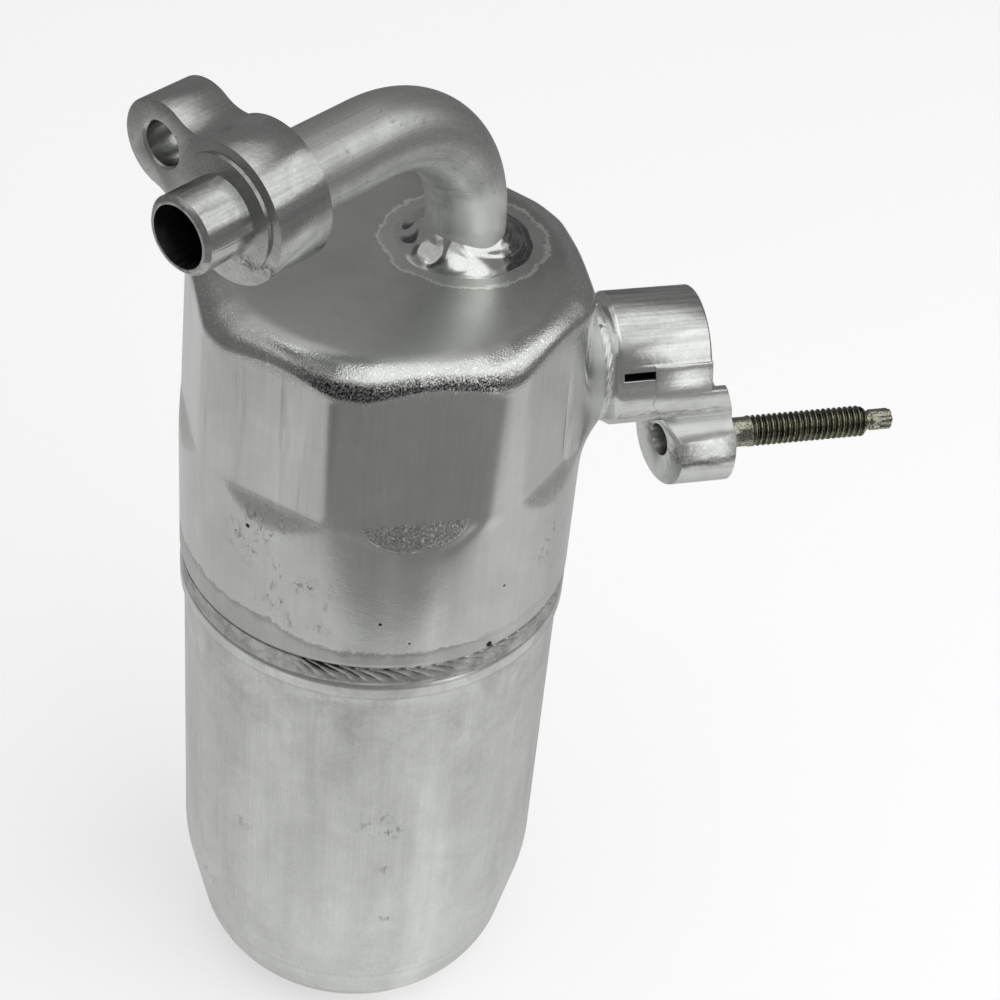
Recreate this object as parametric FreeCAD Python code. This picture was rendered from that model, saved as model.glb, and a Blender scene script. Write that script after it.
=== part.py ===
import FreeCAD, Part
import math
import os

# Suction line accumulator and receiver drier for a vehicle air conditioner.
# Millimetres and degrees. Z is up, along the axis of the vessel.
# The origin is on that axis, at the middle of the straight wall where the bracket band grips.
# X points along the outlet fitting, and the flats of the upper shell face the axes.

# Lower can: straight wall, then a shallow taper to a flat base
can_radius = 48.1
can_wall = 3.0
can_straight = 88.2
taper_angle = 11.3
taper_blend_radius = 45.3
taper_length = 19.7
base_corner_radius = 21.9
rim_step = 1.1
rim_height = 5.0

# Girth joint between the can and the upper shell
weld_height = 6.2
weld_crown = 0.35
weld_root_height = 1.0
spigot_depth = 6.0
spigot_chamfer = 0.5
joint_clearance = 0.1

# Upper shell: a drawn cup whose wall is pressed into eight flats
shell_overhang = 0.05
shell_wall = 2.5
shell_draft = 1.15
flat_count = 8
ramp_rise = 38.6
ramp_height = 7.2
flat_height = 42.45
flat_foot_inset = 1.95
flat_top_inset = 3.3
top_edge_radius = 4.8

# Inlet tube, which leaves the top of the shell and bends over level
tube_radius = 9.525
tube_wall = 1.65
inlet_x = 18.1
inlet_y = 4.35
inlet_heading = 35.2
inlet_bend_radius = 35.3
inlet_axis_rise = 41.35
inlet_drop = 7.0
tube_hole_clearance = 0.1
inlet_weld_radius = 16.8
inlet_weld_height = 4.5
inlet_weld_hollow = 1.2

# Inlet block, brazed on the end of the tube
inlet_block_start = 62.75
inlet_block_length = 14.65
inlet_barrel_radius = 16.0
inlet_seat_radius = 13.2
inlet_seat_height = 0.9
inlet_pilot_radius = 8.75
inlet_pilot_length = 12.2
inlet_pilot_chamfer = 1.0
inlet_bore_radius = 7.0
inlet_socket_depth = 8.0
inlet_ear_offset = 20.3
inlet_ear_angle = 159.0
inlet_ear_radius = 10.2
inlet_ear_setback = 1.25
inlet_ear_hole_radius = 4.9
inlet_hole_chamfer = 0.6
inlet_web_radius = 10.0
socket_clearance = 0.05
braze_mouth_radius = 12.0
braze_mouth_depth = 2.6
braze_setback = 0.8

# Outlet boss on the shell and its weld
outlet_drop = 35.15
pad_height = 1.25
pad_face_radius = 16.5
pad_slope = 45.0
outlet_spigot_radius = 11.5
outlet_spigot_reach = 4.5
outlet_neck_radius = 13.0
outlet_neck_length = 2.4
outlet_weld_radius = 15.1
outlet_weld_crown = 0.3

# Outlet block: a round barrel with a side ear that steps outwards
outlet_barrel_radius = 16.5
outlet_shoulder_length = 2.5
outlet_barrel_length = 22.4
outlet_edge_chamfer = 0.5
outlet_seat_radius = 15.0
flank_radius = 16.9
flank_top_rise = 7.6
ledge_rise = 0.2
outlet_ear_drop = 27.8
outlet_ear_radius = 11.8
outlet_web_radius = 12.0
web_back_start = 4.5
web_face_step = 4.2
ear_back_offset = 13.2
ear_back_angle = 11.9
ear_face_offset = 7.9
ear_thickness_level = 6.5
web_bend_drop = 3.0
cutter_slot_rise = 6.3
cutter_slot_height = 2.0
cutter_slot_depth = 5.0
port_radius = 9.5
port_depth = 16.0
port_chamfer = 1.0
passage_radius = 6.4

# Clamp stud in the ear of the outlet block
stud_shank_radius = 3.9
stud_thread_radius = 4.08
stud_embedded = 11.7
stud_shank_length = 7.6
stud_thread_length = 31.6
stud_thread_chamfer = 0.8
stud_neck_radius = 2.45
stud_neck_length = 1.7
stud_tip_radius = 2.85
stud_tip_length = 5.7
stud_lobe_groove = 0.7
stud_lobes = 6
stud_fit = 0.05

# Pickup tube: a U that draws vapour from the top of the vessel to the outlet
pickup_radius = 7.95
pickup_wall = 1.2
pickup_elbow_radius = 22.0
leg_half_spacing = 20.0
pickup_mouth_drop = 40.45
pickup_floor_gap = 18.9
bleed_hole_radius = 0.75
sleeve_outer_radius = 9.0
sleeve_length = 9.0

# Deflector over the mouth of the pickup tube
deflector_gap = 4.45
deflector_wall = 1.6
deflector_rise = 16.0
deflector_dome_rise = 7.0
deflector_lip = 3.0
arch_gap = 1.0
hub_height = 8.0
hub_wall = 1.8
hub_posts = 3
hub_post_width = 5.0
inner_clearance = 0.1

# Spacer that holds the two legs of the pickup tube apart
spacer_bag_gap = 18.0
spacer_height = 6.0
spacer_wall = 2.2
spacer_bar_thickness = 3.0

# Oil filter under the lowest point of the U
cage_radius = 9.5
cage_wall = 1.3
cage_window_count = 6
cage_window_width = 5.0
cage_floor = 1.6
cage_upper_band = 5.0
mesh_wall = 0.4

# Desiccant bags on both sides of the legs, and the tie round them
bag_clearance = 3.6
bag_floor_gap = 52.9
bag_height = 84.0
bag_edge_radius = 5.0
bag_gap = 0.3
tie_width = 8.0
tie_thickness = 1.0
tie_rise = 42.0

# How far a cutting form runs past the surface that it cuts
overcut = 1.0

# Levels and stations that follow from the sizes above
rim_radius = can_radius + rim_step
shell_radius = rim_radius + shell_overhang
shell_top_radius = shell_radius - shell_draft
pad_face = shell_radius + pad_height
wall_top = can_straight / 2
taper_slope = math.radians(taper_angle)
taper_drop = taper_length * math.cos(taper_slope)
blend_drop = (taper_blend_radius - base_corner_radius) * math.sin(taper_slope)
base_level = -wall_top - taper_drop - blend_drop - base_corner_radius
floor_level = base_level + can_wall
rim_top = wall_top + rim_height
weld_top = rim_top + weld_height
joint_level = rim_top + weld_height / 2
shell_inner_radius = shell_radius - shell_wall
spigot_radius = shell_inner_radius - joint_clearance
can_inner_radius = can_radius - can_wall
ramp_level = joint_level + ramp_rise
flat_level = ramp_level + ramp_height
shell_top = flat_level + flat_height
inlet_level = shell_top + inlet_axis_rise
outlet_level = shell_top - outlet_drop
barrel_start = pad_face + outlet_neck_length + outlet_shoulder_length
barrel_face = barrel_start + outlet_barrel_length
ear_level = outlet_level - outlet_ear_drop
web_back = barrel_start + web_back_start
ear_back = web_back + ear_back_offset
ear_back_skew = (flank_radius + overcut) * math.tan(math.radians(ear_back_angle))
web_face = barrel_face + web_face_step
ear_face = web_face + ear_face_offset
pickup_mouth = shell_top - pickup_mouth_drop
pickup_low = floor_level + pickup_floor_gap
pickup_u_level = pickup_low + leg_half_spacing
deflector_radius = shell_inner_radius - flat_top_inset - deflector_gap
deflector_rim_level = pickup_mouth + deflector_rise
bag_radius = can_inner_radius - bag_clearance
bag_bottom = floor_level + bag_floor_gap
spacer_level = bag_bottom + bag_height + spacer_bag_gap
tie_level = bag_bottom + tie_rise


def at(r, z):
    """Point of an outline in the XZ plane."""
    return FreeCAD.Vector(r, 0, z)


def line(a, b):
    return Part.LineSegment(a, b).toShape()


def arc(a, middle, b):
    return Part.Arc(a, middle, b).toShape()


def chain(points):
    """Straight edges through the points, in order."""
    return [line(a, b) for a, b in zip(points, points[1:])]


def revolved(edges):
    """Solid of revolution about Z from a closed outline in the XZ plane."""
    face = Part.Face(Part.Wire(edges))
    return face.revolve(FreeCAD.Vector(), FreeCAD.Vector(0, 0, 1), 360)


def turned(points):
    """Solid turned about Z from the corners of its outline."""
    corners = [at(r, z) for r, z in points]
    return revolved(chain(corners + corners[:1]))


def prism(points, start, length):
    """Straight prism along Y of a polygon given by its x and z values."""
    corners = [FreeCAD.Vector(x, start, z) for x, z in points]
    return Part.Face(Part.makePolygon(corners + corners[:1])).extrude(FreeCAD.Vector(0, length, 0))


def rod(radius, start, end):
    """Cylinder between two points."""
    return Part.makeCylinder(radius, (end - start).Length, start, end - start)


def rod_x(radius, x_start, x_end, y=0, z=0):
    return rod(radius, FreeCAD.Vector(x_start, y, z), FreeCAD.Vector(x_end, y, z))


def rod_z(radius, z_start, z_end, x=0, y=0):
    return rod(radius, FreeCAD.Vector(x, y, z_start), FreeCAD.Vector(x, y, z_end))


def cone_x(r_start, r_end, x_start, x_end, y=0, z=0):
    foot = FreeCAD.Vector(x_start, y, z)
    return Part.makeCone(r_start, r_end, x_end - x_start, foot, FreeCAD.Vector(1, 0, 0))


def along_x(shape, y=0, z=0):
    """Turns a form made about Z so that its axis runs along X."""
    shape.rotate(FreeCAD.Vector(), FreeCAD.Vector(0, 1, 0), 90)
    shape.translate(FreeCAD.Vector(0, y, z))
    return shape


def swept(radius, path):
    """Round bar along a path of straight runs and tangent arcs."""
    start = path[0].firstVertex().Point
    heading = path[0].tangentAt(path[0].FirstParameter)
    ring = Part.Wire(Part.makeCircle(radius, start, heading))
    return Part.Wire(path).makePipeShell([ring], True, False)


def peanut(big_radius, small_radius, distance, hollow_radius):
    """Face in the YZ plane of two round bosses joined by hollow flanks.

    The big boss is at the origin and the small one lies along +Y.
    """
    reach_big = big_radius + hollow_radius
    reach_small = small_radius + hollow_radius
    along = (reach_big ** 2 - reach_small ** 2 + distance ** 2) / (2 * distance)
    aside = math.sqrt(reach_big ** 2 - along ** 2)
    to_big = math.atan2(-aside, -along)
    to_small = math.atan2(-aside, distance - along)
    to_waist = (to_big + to_small) / 2

    def on_flank(angle, side):
        y = along + hollow_radius * math.cos(angle)
        z = aside + hollow_radius * math.sin(angle)
        return FreeCAD.Vector(0, y, side * z)

    def flank(side):
        return [on_flank(angle, side) for angle in (to_big, to_waist, to_small)]

    big_up, waist_up, small_up = flank(1)
    big_down, waist_down, small_down = flank(-1)
    edges = [
        arc(big_up, FreeCAD.Vector(0, -big_radius, 0), big_down),
        arc(big_down, waist_down, small_down),
        arc(small_down, FreeCAD.Vector(0, distance + small_radius, 0), small_up),
        arc(small_up, waist_up, big_up),
    ]
    return Part.Face(Part.Wire(edges))


def can_outline(inset):
    """Taper and base of the can from the straight wall to the axis, moved in by inset."""
    slope = taper_slope
    blend_x = can_radius - taper_blend_radius
    blend = taper_blend_radius - inset
    corner = base_corner_radius - inset
    drop_x = math.sin(slope) * taper_length
    drop_z = math.cos(slope) * taper_length

    def on_blend(angle):
        return at(blend_x + blend * math.cos(angle), -wall_top - blend * math.sin(angle))

    outer_x = blend_x + taper_blend_radius * math.cos(slope) - drop_x
    outer_z = -wall_top - taper_blend_radius * math.sin(slope) - drop_z
    corner_x = outer_x - base_corner_radius * math.cos(slope)
    corner_z = outer_z + base_corner_radius * math.sin(slope)

    def on_corner(angle):
        return at(corner_x + corner * math.cos(angle), corner_z - corner * math.sin(angle))

    halfway = (slope + math.pi / 2) / 2
    base_end = on_corner(math.pi / 2)
    return [
        arc(on_blend(0), on_blend(slope / 2), on_blend(slope)),
        line(on_blend(slope), on_corner(slope)),
        arc(on_corner(slope), on_corner(halfway), base_end),
        line(base_end, at(0, base_end.z)),
    ]


def bevel_height(radius, half):
    """Distance of a weld face from the joint level, at a given radius."""
    share = (radius - spigot_radius) / (shell_radius - spigot_radius)
    return weld_root_height / 2 + share * (half - weld_root_height / 2)


def lower_can():
    """Impact extruded can with a thicker rim, turned to a spigot that enters the shell."""
    outer = can_outline(0)
    inner = can_outline(can_wall)
    spigot_top = joint_level + spigot_depth
    lip = bevel_height(rim_radius, weld_height / 2)
    rim = [
        at(can_radius, -wall_top),
        at(can_radius, wall_top),
        at(rim_radius, wall_top),
        at(rim_radius, joint_level - lip),
        at(spigot_radius, joint_level - weld_root_height / 2),
        at(spigot_radius, spigot_top - spigot_chamfer),
        at(spigot_radius - spigot_chamfer, spigot_top),
        at(can_inner_radius, spigot_top),
        at(can_inner_radius, -wall_top),
    ]
    closing = line(outer[-1].Vertexes[-1].Point, inner[-1].Vertexes[-1].Point)
    return revolved(chain(rim) + inner + [closing] + outer)


def girth_weld():
    """Weld bead that fills the V between can and shell, with a low crown."""
    lip = bevel_height(rim_radius, weld_height / 2)
    crown = at(shell_radius + weld_crown, joint_level)
    low = at(rim_radius, joint_level - lip)
    high = at(shell_radius, joint_level + weld_height / 2)
    root = [
        high,
        at(spigot_radius, joint_level + weld_root_height / 2),
        at(spigot_radius, joint_level - weld_root_height / 2),
        low,
    ]
    return revolved(chain(root) + [arc(low, crown, high)])


def rounded_shoulder(foot, top, radius):
    """Wall from foot to top in the XZ plane, rounded over towards the axis at the top."""
    lean = math.atan2(foot.x - top.x, top.z - foot.z)
    drop = radius / (top.z - foot.z)
    centre_x = top.x + drop * (foot.x - top.x) - radius / math.cos(lean)
    centre_z = top.z - radius

    def spot(angle):
        return at(centre_x + radius * math.cos(angle), centre_z + radius * math.sin(angle))

    halfway = (lean + math.pi / 2) / 2
    over = spot(math.pi / 2)
    return [line(foot, spot(lean)), arc(spot(lean), spot(halfway), over)], over


def mirrored(edges):
    """The same edges on the other side of the YZ plane."""
    return [edge.mirror(FreeCAD.Vector(), FreeCAD.Vector(1, 0, 0)) for edge in edges]


def shell_form(inset):
    """Round cup with eight pressed flats, its skin moved in by inset."""
    radius = shell_radius - inset
    top = shell_top - inset
    rounding = top_edge_radius - inset
    if inset > 0:
        low = [at(0, joint_level), at(radius, joint_level)]
    else:
        inner_edge = joint_level + bevel_height(shell_inner_radius, weld_height / 2)
        low = [at(0, inner_edge), at(shell_inner_radius, inner_edge), at(radius, weld_top)]
    low.append(at(radius, flat_level))
    shoulder, over = rounded_shoulder(low[-1], at(shell_top_radius - inset, top), rounding)
    form = revolved(chain(low) + shoulder + chain([over, at(0, top), low[0]]))

    below = 4.0
    ramp_slope = flat_foot_inset / ramp_height
    skirt = at(radius + ramp_slope * below, ramp_level - below)
    corner = at(skirt.x, joint_level - below)
    foot = at(radius - flat_foot_inset, flat_level)
    shoulder, over = rounded_shoulder(foot, at(radius - flat_top_inset, top), rounding)
    side = chain([corner, skirt, foot]) + shoulder
    outline = side + mirrored(side)
    outline.append(line(over, at(-over.x, top)))
    outline.append(line(at(-corner.x, corner.z), corner))
    across = Part.Face(Part.Wire(Part.__sortEdges__(outline)))
    across.translate(FreeCAD.Vector(0, -2 * radius, 0))
    press = across.extrude(FreeCAD.Vector(0, 4 * radius, 0))
    for index in range(flat_count // 2):
        pressed = press.copy()
        pressed.rotate(FreeCAD.Vector(), FreeCAD.Vector(0, 0, 1), index * 360 / flat_count)
        form = form.common(pressed)
    return form


def pad_form(inset):
    """Cone of the outlet boss, its skin moved in by inset."""
    slope = math.tan(math.radians(pad_slope))
    face = pad_face - inset
    face_radius = pad_face_radius - inset * math.tan(math.radians(pad_slope / 2))
    start = flat_apothem_at(outlet_level) - 2 * shell_wall
    return cone_x(face_radius + (face - start) * slope, face_radius, start, face, z=outlet_level)


def flat_apothem_at(level):
    share = (level - flat_level) / flat_height
    return shell_radius - flat_foot_inset - share * (flat_top_inset - flat_foot_inset)


def upper_shell():
    """Drawn cup with its flats, the outlet boss and the two holes."""
    shell = shell_form(0).fuse(pad_form(0))
    shell = shell.cut(shell_form(shell_wall).fuse(pad_form(shell_wall)))
    tube_hole = tube_radius + tube_hole_clearance
    shell = shell.cut(rod_z(tube_hole, shell_top - 2 * shell_wall, shell_top + overcut, inlet_x, inlet_y))
    outlet_hole = outlet_spigot_radius + tube_hole_clearance
    return shell.cut(rod_x(outlet_hole, pad_face - 3 * shell_wall, pad_face + overcut, z=outlet_level))


def inlet_direction():
    """Heading of the level run of the inlet tube."""
    heading = math.radians(inlet_heading)
    return FreeCAD.Vector(-math.cos(heading), -math.sin(heading), 0)


def inlet_tube():
    """Bent tube from inside the shell to the bottom of the socket in the block."""
    heading = inlet_direction()
    bend_start = FreeCAD.Vector(inlet_x, inlet_y, inlet_level - inlet_bend_radius)
    foot = FreeCAD.Vector(inlet_x, inlet_y, shell_top - inlet_drop)
    centre = bend_start + heading * inlet_bend_radius
    half = math.radians(45)
    outward = heading * -math.cos(half) + FreeCAD.Vector(0, 0, math.sin(half))
    middle = centre + outward * inlet_bend_radius
    bend_end = centre + FreeCAD.Vector(0, 0, inlet_bend_radius)
    run = inlet_block_start + inlet_socket_depth - inlet_bend_radius
    path = [
        line(foot, bend_start),
        arc(bend_start, middle, bend_end),
        line(bend_end, bend_end + heading * run),
    ]
    return swept(tube_radius, path).cut(swept(tube_radius - tube_wall, path))


def inlet_tube_weld():
    """Hollow fillet of weld round the tube, which runs out flat on the top of the shell."""
    width = inlet_weld_radius - tube_radius
    foot = at(tube_radius, 0)
    toe = at(inlet_weld_radius, 0)
    top = at(tube_radius, inlet_weld_height)
    chord = math.hypot(width, inlet_weld_height)
    sag_x = inlet_weld_hollow * inlet_weld_height / chord
    sag_z = inlet_weld_hollow * width / chord
    middle = at(tube_radius + width / 2 - sag_x, inlet_weld_height / 2 - sag_z)
    weld = revolved([line(foot, toe), arc(toe, middle, top), line(top, foot)])
    weld.translate(FreeCAD.Vector(inlet_x, inlet_y, shell_top))
    return weld


def to_inlet(shape):
    """Moves a form made along X at the origin to the level run of the inlet tube."""
    shape.rotate(FreeCAD.Vector(), FreeCAD.Vector(0, 0, 1), 180 + inlet_heading)
    shape.translate(FreeCAD.Vector(inlet_x, inlet_y, inlet_level))
    return shape


def braze_radius_at(setback):
    """Radius of the countersink round the socket, at a depth from the back of the block."""
    socket = tube_radius + socket_clearance
    return braze_mouth_radius - (braze_mouth_radius - socket) * setback / braze_mouth_depth


def inlet_block():
    """Block with a pilot for the suction pipe and an ear for the bolt that holds it."""
    face = inlet_block_start + inlet_block_length
    seat = face + inlet_seat_height
    tip = seat + inlet_pilot_length
    thickness = inlet_block_length - inlet_ear_setback
    profile = peanut(inlet_barrel_radius, inlet_ear_radius, inlet_ear_offset, inlet_web_radius)
    profile.rotate(FreeCAD.Vector(), FreeCAD.Vector(1, 0, 0), inlet_ear_angle)
    profile.translate(FreeCAD.Vector(inlet_block_start + inlet_ear_setback, 0, 0))
    block = profile.extrude(FreeCAD.Vector(thickness, 0, 0))
    block = block.fuse(rod_x(inlet_barrel_radius, inlet_block_start, face))
    block = block.fuse(rod_x(inlet_seat_radius, face - overcut, seat))
    chamfer = inlet_pilot_chamfer
    block = block.fuse(rod_x(inlet_pilot_radius, face, tip - chamfer))
    block = block.fuse(cone_x(inlet_pilot_radius, inlet_pilot_radius - chamfer, tip - chamfer, tip))

    socket_end = inlet_block_start + inlet_socket_depth
    block = block.cut(rod_x(inlet_bore_radius, socket_end - overcut, tip + overcut))
    block = block.cut(rod_x(tube_radius + socket_clearance, inlet_block_start - overcut, socket_end))
    mouth_end = inlet_block_start + braze_mouth_depth
    mouth = cone_x(braze_mouth_radius, braze_radius_at(braze_mouth_depth), inlet_block_start, mouth_end)
    block = block.cut(mouth)

    angle = math.radians(inlet_ear_angle)
    ear_y = inlet_ear_offset * math.cos(angle)
    ear_z = inlet_ear_offset * math.sin(angle)
    back = inlet_block_start + inlet_ear_setback
    hole = inlet_ear_hole_radius
    block = block.cut(rod_x(hole, back - overcut, face + overcut, ear_y, ear_z))
    edge = inlet_hole_chamfer
    block = block.cut(cone_x(hole, hole + edge, face - edge, face, ear_y, ear_z))
    block = block.cut(cone_x(hole + edge, hole, back, back + edge, ear_y, ear_z))
    return to_inlet(block.removeSplitter())


def inlet_block_braze():
    """Ring of braze in the countersink, lying a little below the back of the block."""
    start = inlet_block_start + braze_setback
    end = inlet_block_start + braze_mouth_depth
    ring = cone_x(braze_radius_at(braze_setback), braze_radius_at(braze_mouth_depth), start, end)
    return to_inlet(ring.cut(rod_x(tube_radius, start - overcut, end + overcut)))


def outlet_weld():
    """Weld ring between the boss of the shell and the back of the outlet block."""
    end = pad_face + outlet_neck_length
    foot = [
        at(outlet_weld_radius, pad_face),
        at(outlet_neck_radius, pad_face),
        at(outlet_neck_radius, end),
        at(outlet_weld_radius, end),
    ]
    crown = at(outlet_weld_radius + outlet_weld_crown, (pad_face + end) / 2)
    ring = revolved(chain(foot) + [arc(foot[-1], crown, foot[0])])
    return along_x(ring, z=outlet_level)


def outlet_ear():
    """Extruded web and ear of the outlet block, cut to its stepped front and its skewed back."""
    profile = peanut(flank_radius, outlet_ear_radius, outlet_ear_drop, outlet_web_radius)
    profile.rotate(FreeCAD.Vector(), FreeCAD.Vector(1, 0, 0), -90)
    profile.translate(FreeCAD.Vector(barrel_start, 0, outlet_level))
    bar = profile.extrude(FreeCAD.Vector(ear_face - barrel_start, 0, 0))
    ear_top = ear_level + ear_thickness_level
    web_top = outlet_level - web_bend_drop
    flank_top = outlet_level + flank_top_rise
    ledge = outlet_level + ledge_rise
    foot = ear_level - outlet_ear_radius - overcut
    reach = flank_radius + overcut
    front = [
        (barrel_start, flank_top),
        (barrel_face, flank_top),
        (barrel_face, ledge),
        (web_face, ledge),
        (ear_face, ear_top),
        (ear_face, foot),
        (barrel_start, foot),
    ]
    bar = bar.common(prism(front, -reach, 2 * reach))

    behind = barrel_start - 2 * ear_back_skew - overcut
    back = [
        (web_back, flank_top + overcut),
        (web_back, web_top),
        (ear_back, ear_top),
        (ear_back, foot - overcut),
        (behind, foot - overcut),
        (behind, flank_top + overcut),
    ]
    corners = [FreeCAD.Vector(x + ear_back_skew, -reach, z) for x, z in back]
    face = Part.Face(Part.makePolygon(corners + corners[:1]))
    return bar.cut(face.extrude(FreeCAD.Vector(-2 * ear_back_skew, 2 * reach, 0)))


def outlet_block():
    """Outlet fitting: a turned barrel, a port in a round seat, and an ear for the clamp stud."""
    neck_end = pad_face + outlet_neck_length
    tip = pad_face - outlet_spigot_reach
    edge = outlet_edge_chamfer
    profile = [
        (0, tip),
        (outlet_spigot_radius, tip),
        (outlet_spigot_radius, pad_face),
        (outlet_neck_radius, pad_face),
        (outlet_neck_radius, neck_end),
        (outlet_weld_radius, neck_end),
        (outlet_barrel_radius, barrel_start),
        (outlet_barrel_radius, barrel_face - edge),
        (outlet_barrel_radius - edge, barrel_face),
        (0, barrel_face),
    ]
    block = along_x(turned(profile), z=outlet_level)

    slot_top = outlet_level + cutter_slot_rise
    slot_end = web_back + ear_back_skew
    slot = [
        (barrel_start, slot_top),
        (slot_end, slot_top),
        (slot_end, slot_top - cutter_slot_height),
        (barrel_start, slot_top - cutter_slot_height),
    ]
    slot_inner = outlet_barrel_radius - cutter_slot_depth
    slot_reach = flank_radius + overcut - slot_inner
    block = block.cut(prism(slot, -slot_inner - slot_reach, slot_reach))
    block = block.cut(prism(slot, slot_inner, slot_reach))
    block = block.fuse(outlet_ear())

    block = block.cut(rod_x(outlet_seat_radius, barrel_face, ear_face + overcut, z=outlet_level))
    port_end = barrel_face - port_depth
    sleeve_end = tip + sleeve_length
    block = block.cut(rod_x(passage_radius, tip - overcut, barrel_face + overcut, z=outlet_level))
    block = block.cut(rod_x(port_radius, port_end, barrel_face + overcut, z=outlet_level))
    mouth = port_radius + port_chamfer
    block = block.cut(cone_x(port_radius, mouth, barrel_face - port_chamfer, barrel_face, z=outlet_level))
    block = block.cut(rod_x(sleeve_outer_radius, tip - overcut, sleeve_end, z=outlet_level))
    hole = stud_thread_radius + stud_fit
    block = block.cut(rod_x(hole, web_back, ear_face + overcut, z=ear_level))
    return block.removeSplitter()


def clamp_stud():
    """Steel stud screwed into the ear, with a six lobed driving tip."""
    start = ear_face - stud_embedded
    shank_end = ear_face + stud_shank_length
    thread_end = shank_end + stud_thread_length
    neck_end = thread_end + stud_neck_length
    tip_end = neck_end + stud_tip_length
    edge = stud_thread_chamfer
    profile = [
        (0, start),
        (stud_thread_radius - edge, start),
        (stud_thread_radius, start + edge),
        (stud_thread_radius, ear_face - edge),
        (stud_shank_radius, ear_face),
        (stud_shank_radius, shank_end),
        (stud_thread_radius, shank_end),
        (stud_thread_radius, thread_end - edge),
        (stud_thread_radius - edge, thread_end),
        (stud_neck_radius, thread_end),
        (stud_neck_radius, neck_end),
        (stud_tip_radius, neck_end),
        (stud_tip_radius, tip_end),
        (0, tip_end),
    ]
    stud = turned(profile)
    for index in range(stud_lobes):
        turn = math.radians(360 / stud_lobes * index)
        x = stud_tip_radius * math.cos(turn)
        y = stud_tip_radius * math.sin(turn)
        stud = stud.cut(rod_z(stud_lobe_groove, neck_end, tip_end + overcut, x, y))
    return along_x(stud, z=ear_level)


def pickup_path():
    """Centre line of the pickup tube, from the outlet to its open mouth."""
    spacing = leg_half_spacing
    elbow = pickup_elbow_radius
    turn = math.sqrt(0.5)
    start = at(pad_face - outlet_spigot_reach + sleeve_length - inner_clearance, outlet_level)
    elbow_start = at(spacing + elbow, outlet_level)
    elbow_middle = at(spacing + elbow - elbow * turn, outlet_level - elbow + elbow * turn)
    elbow_end = at(spacing, outlet_level - elbow)
    u_start = at(spacing, pickup_u_level)
    u_middle = at(0, pickup_u_level - spacing)
    u_end = at(-spacing, pickup_u_level)
    return [
        line(start, elbow_start),
        arc(elbow_start, elbow_middle, elbow_end),
        line(elbow_end, u_start),
        arc(u_start, u_middle, u_end),
        line(u_end, at(-spacing, pickup_mouth)),
    ]


def pickup_tube():
    """U shaped tube with an oil bleed hole at its lowest point."""
    path = pickup_path()
    tube = swept(pickup_radius, path).cut(swept(pickup_radius - pickup_wall, path))
    return tube.cut(rod_z(bleed_hole_radius, pickup_low - pickup_radius - overcut, pickup_low))


def outlet_sleeve_seal():
    """Moulded sleeve that seals the pickup tube in the back of the outlet block."""
    start = pad_face - outlet_spigot_reach
    end = start + sleeve_length - inner_clearance
    sleeve = rod_x(sleeve_outer_radius, start, end, z=outlet_level)
    return sleeve.cut(rod_x(pickup_radius, start - overcut, end + overcut, z=outlet_level))


def deflector():
    """Moulded umbrella on three posts above the mouth of the pickup tube."""
    wall = deflector_wall
    rim = deflector_rim_level
    dome = turned([
        (0, rim + deflector_dome_rise),
        (deflector_radius, rim),
        (deflector_radius, rim - deflector_lip),
        (deflector_radius - wall, rim - deflector_lip),
        (deflector_radius - wall, rim - wall),
        (0, rim + deflector_dome_rise - wall),
    ])
    arch = pickup_radius + arch_gap
    dome = dome.cut(rod_x(arch, deflector_radius / 2, deflector_radius + overcut, z=outlet_level))
    hub_inner = pickup_radius + inner_clearance
    hub_outer = hub_inner + hub_wall
    ring_bottom = pickup_mouth - hub_height
    hub = rod_z(hub_outer, ring_bottom, pickup_mouth, -leg_half_spacing)
    for index in range(hub_posts):
        post = Part.makeBox(hub_wall, hub_post_width, rim + deflector_dome_rise - pickup_mouth)
        post.translate(FreeCAD.Vector(hub_inner, -hub_post_width / 2, pickup_mouth))
        post.rotate(FreeCAD.Vector(), FreeCAD.Vector(0, 0, 1), 360 / hub_posts * index)
        post.translate(FreeCAD.Vector(-leg_half_spacing, 0, 0))
        hub = hub.fuse(post)
    hub = hub.cut(rod_z(hub_inner, ring_bottom - overcut, pickup_mouth + overcut, -leg_half_spacing))
    cap = turned([
        (0, rim + deflector_dome_rise),
        (deflector_radius, rim),
        (deflector_radius, ring_bottom - overcut),
        (0, ring_bottom - overcut),
    ])
    return dome.fuse(hub.common(cap)).removeSplitter()


def leg_spacer():
    """Moulded clip with a ring round each leg and a bar between them."""
    inner = pickup_radius + inner_clearance
    outer = inner + spacer_wall
    top = spacer_level + spacer_height
    clip = Part.makeBox(2 * leg_half_spacing, spacer_bar_thickness, spacer_height)
    clip.translate(FreeCAD.Vector(-leg_half_spacing, -spacer_bar_thickness / 2, spacer_level))
    for x in (-leg_half_spacing, leg_half_spacing):
        clip = clip.fuse(rod_z(outer, spacer_level, top, x))
    for x in (-leg_half_spacing, leg_half_spacing):
        clip = clip.cut(rod_z(inner, spacer_level - overcut, top + overcut, x))
    return clip.removeSplitter()


def u_bend(radius):
    """Solid bar along the U of the pickup tube, for the saddle of the filter."""
    path = pickup_path()
    return swept(radius, path[3:4])


def oil_filter_cage():
    """Windowed cage that stands on the floor of the can and cradles the U."""
    inner = cage_radius - cage_wall
    sill = floor_level + cage_floor
    cage = rod_z(cage_radius, floor_level, pickup_low).cut(rod_z(inner, sill, pickup_low + overcut))
    height = pickup_low - pickup_radius - cage_upper_band / 2 - sill
    for index in range(cage_window_count):
        window = Part.makeBox(cage_radius, cage_window_width, height)
        window.translate(FreeCAD.Vector(0, -cage_window_width / 2, sill))
        window.rotate(FreeCAD.Vector(), FreeCAD.Vector(0, 0, 1), 360 / cage_window_count * index)
        cage = cage.cut(window)
    return cage.cut(u_bend(pickup_radius + inner_clearance))


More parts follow.
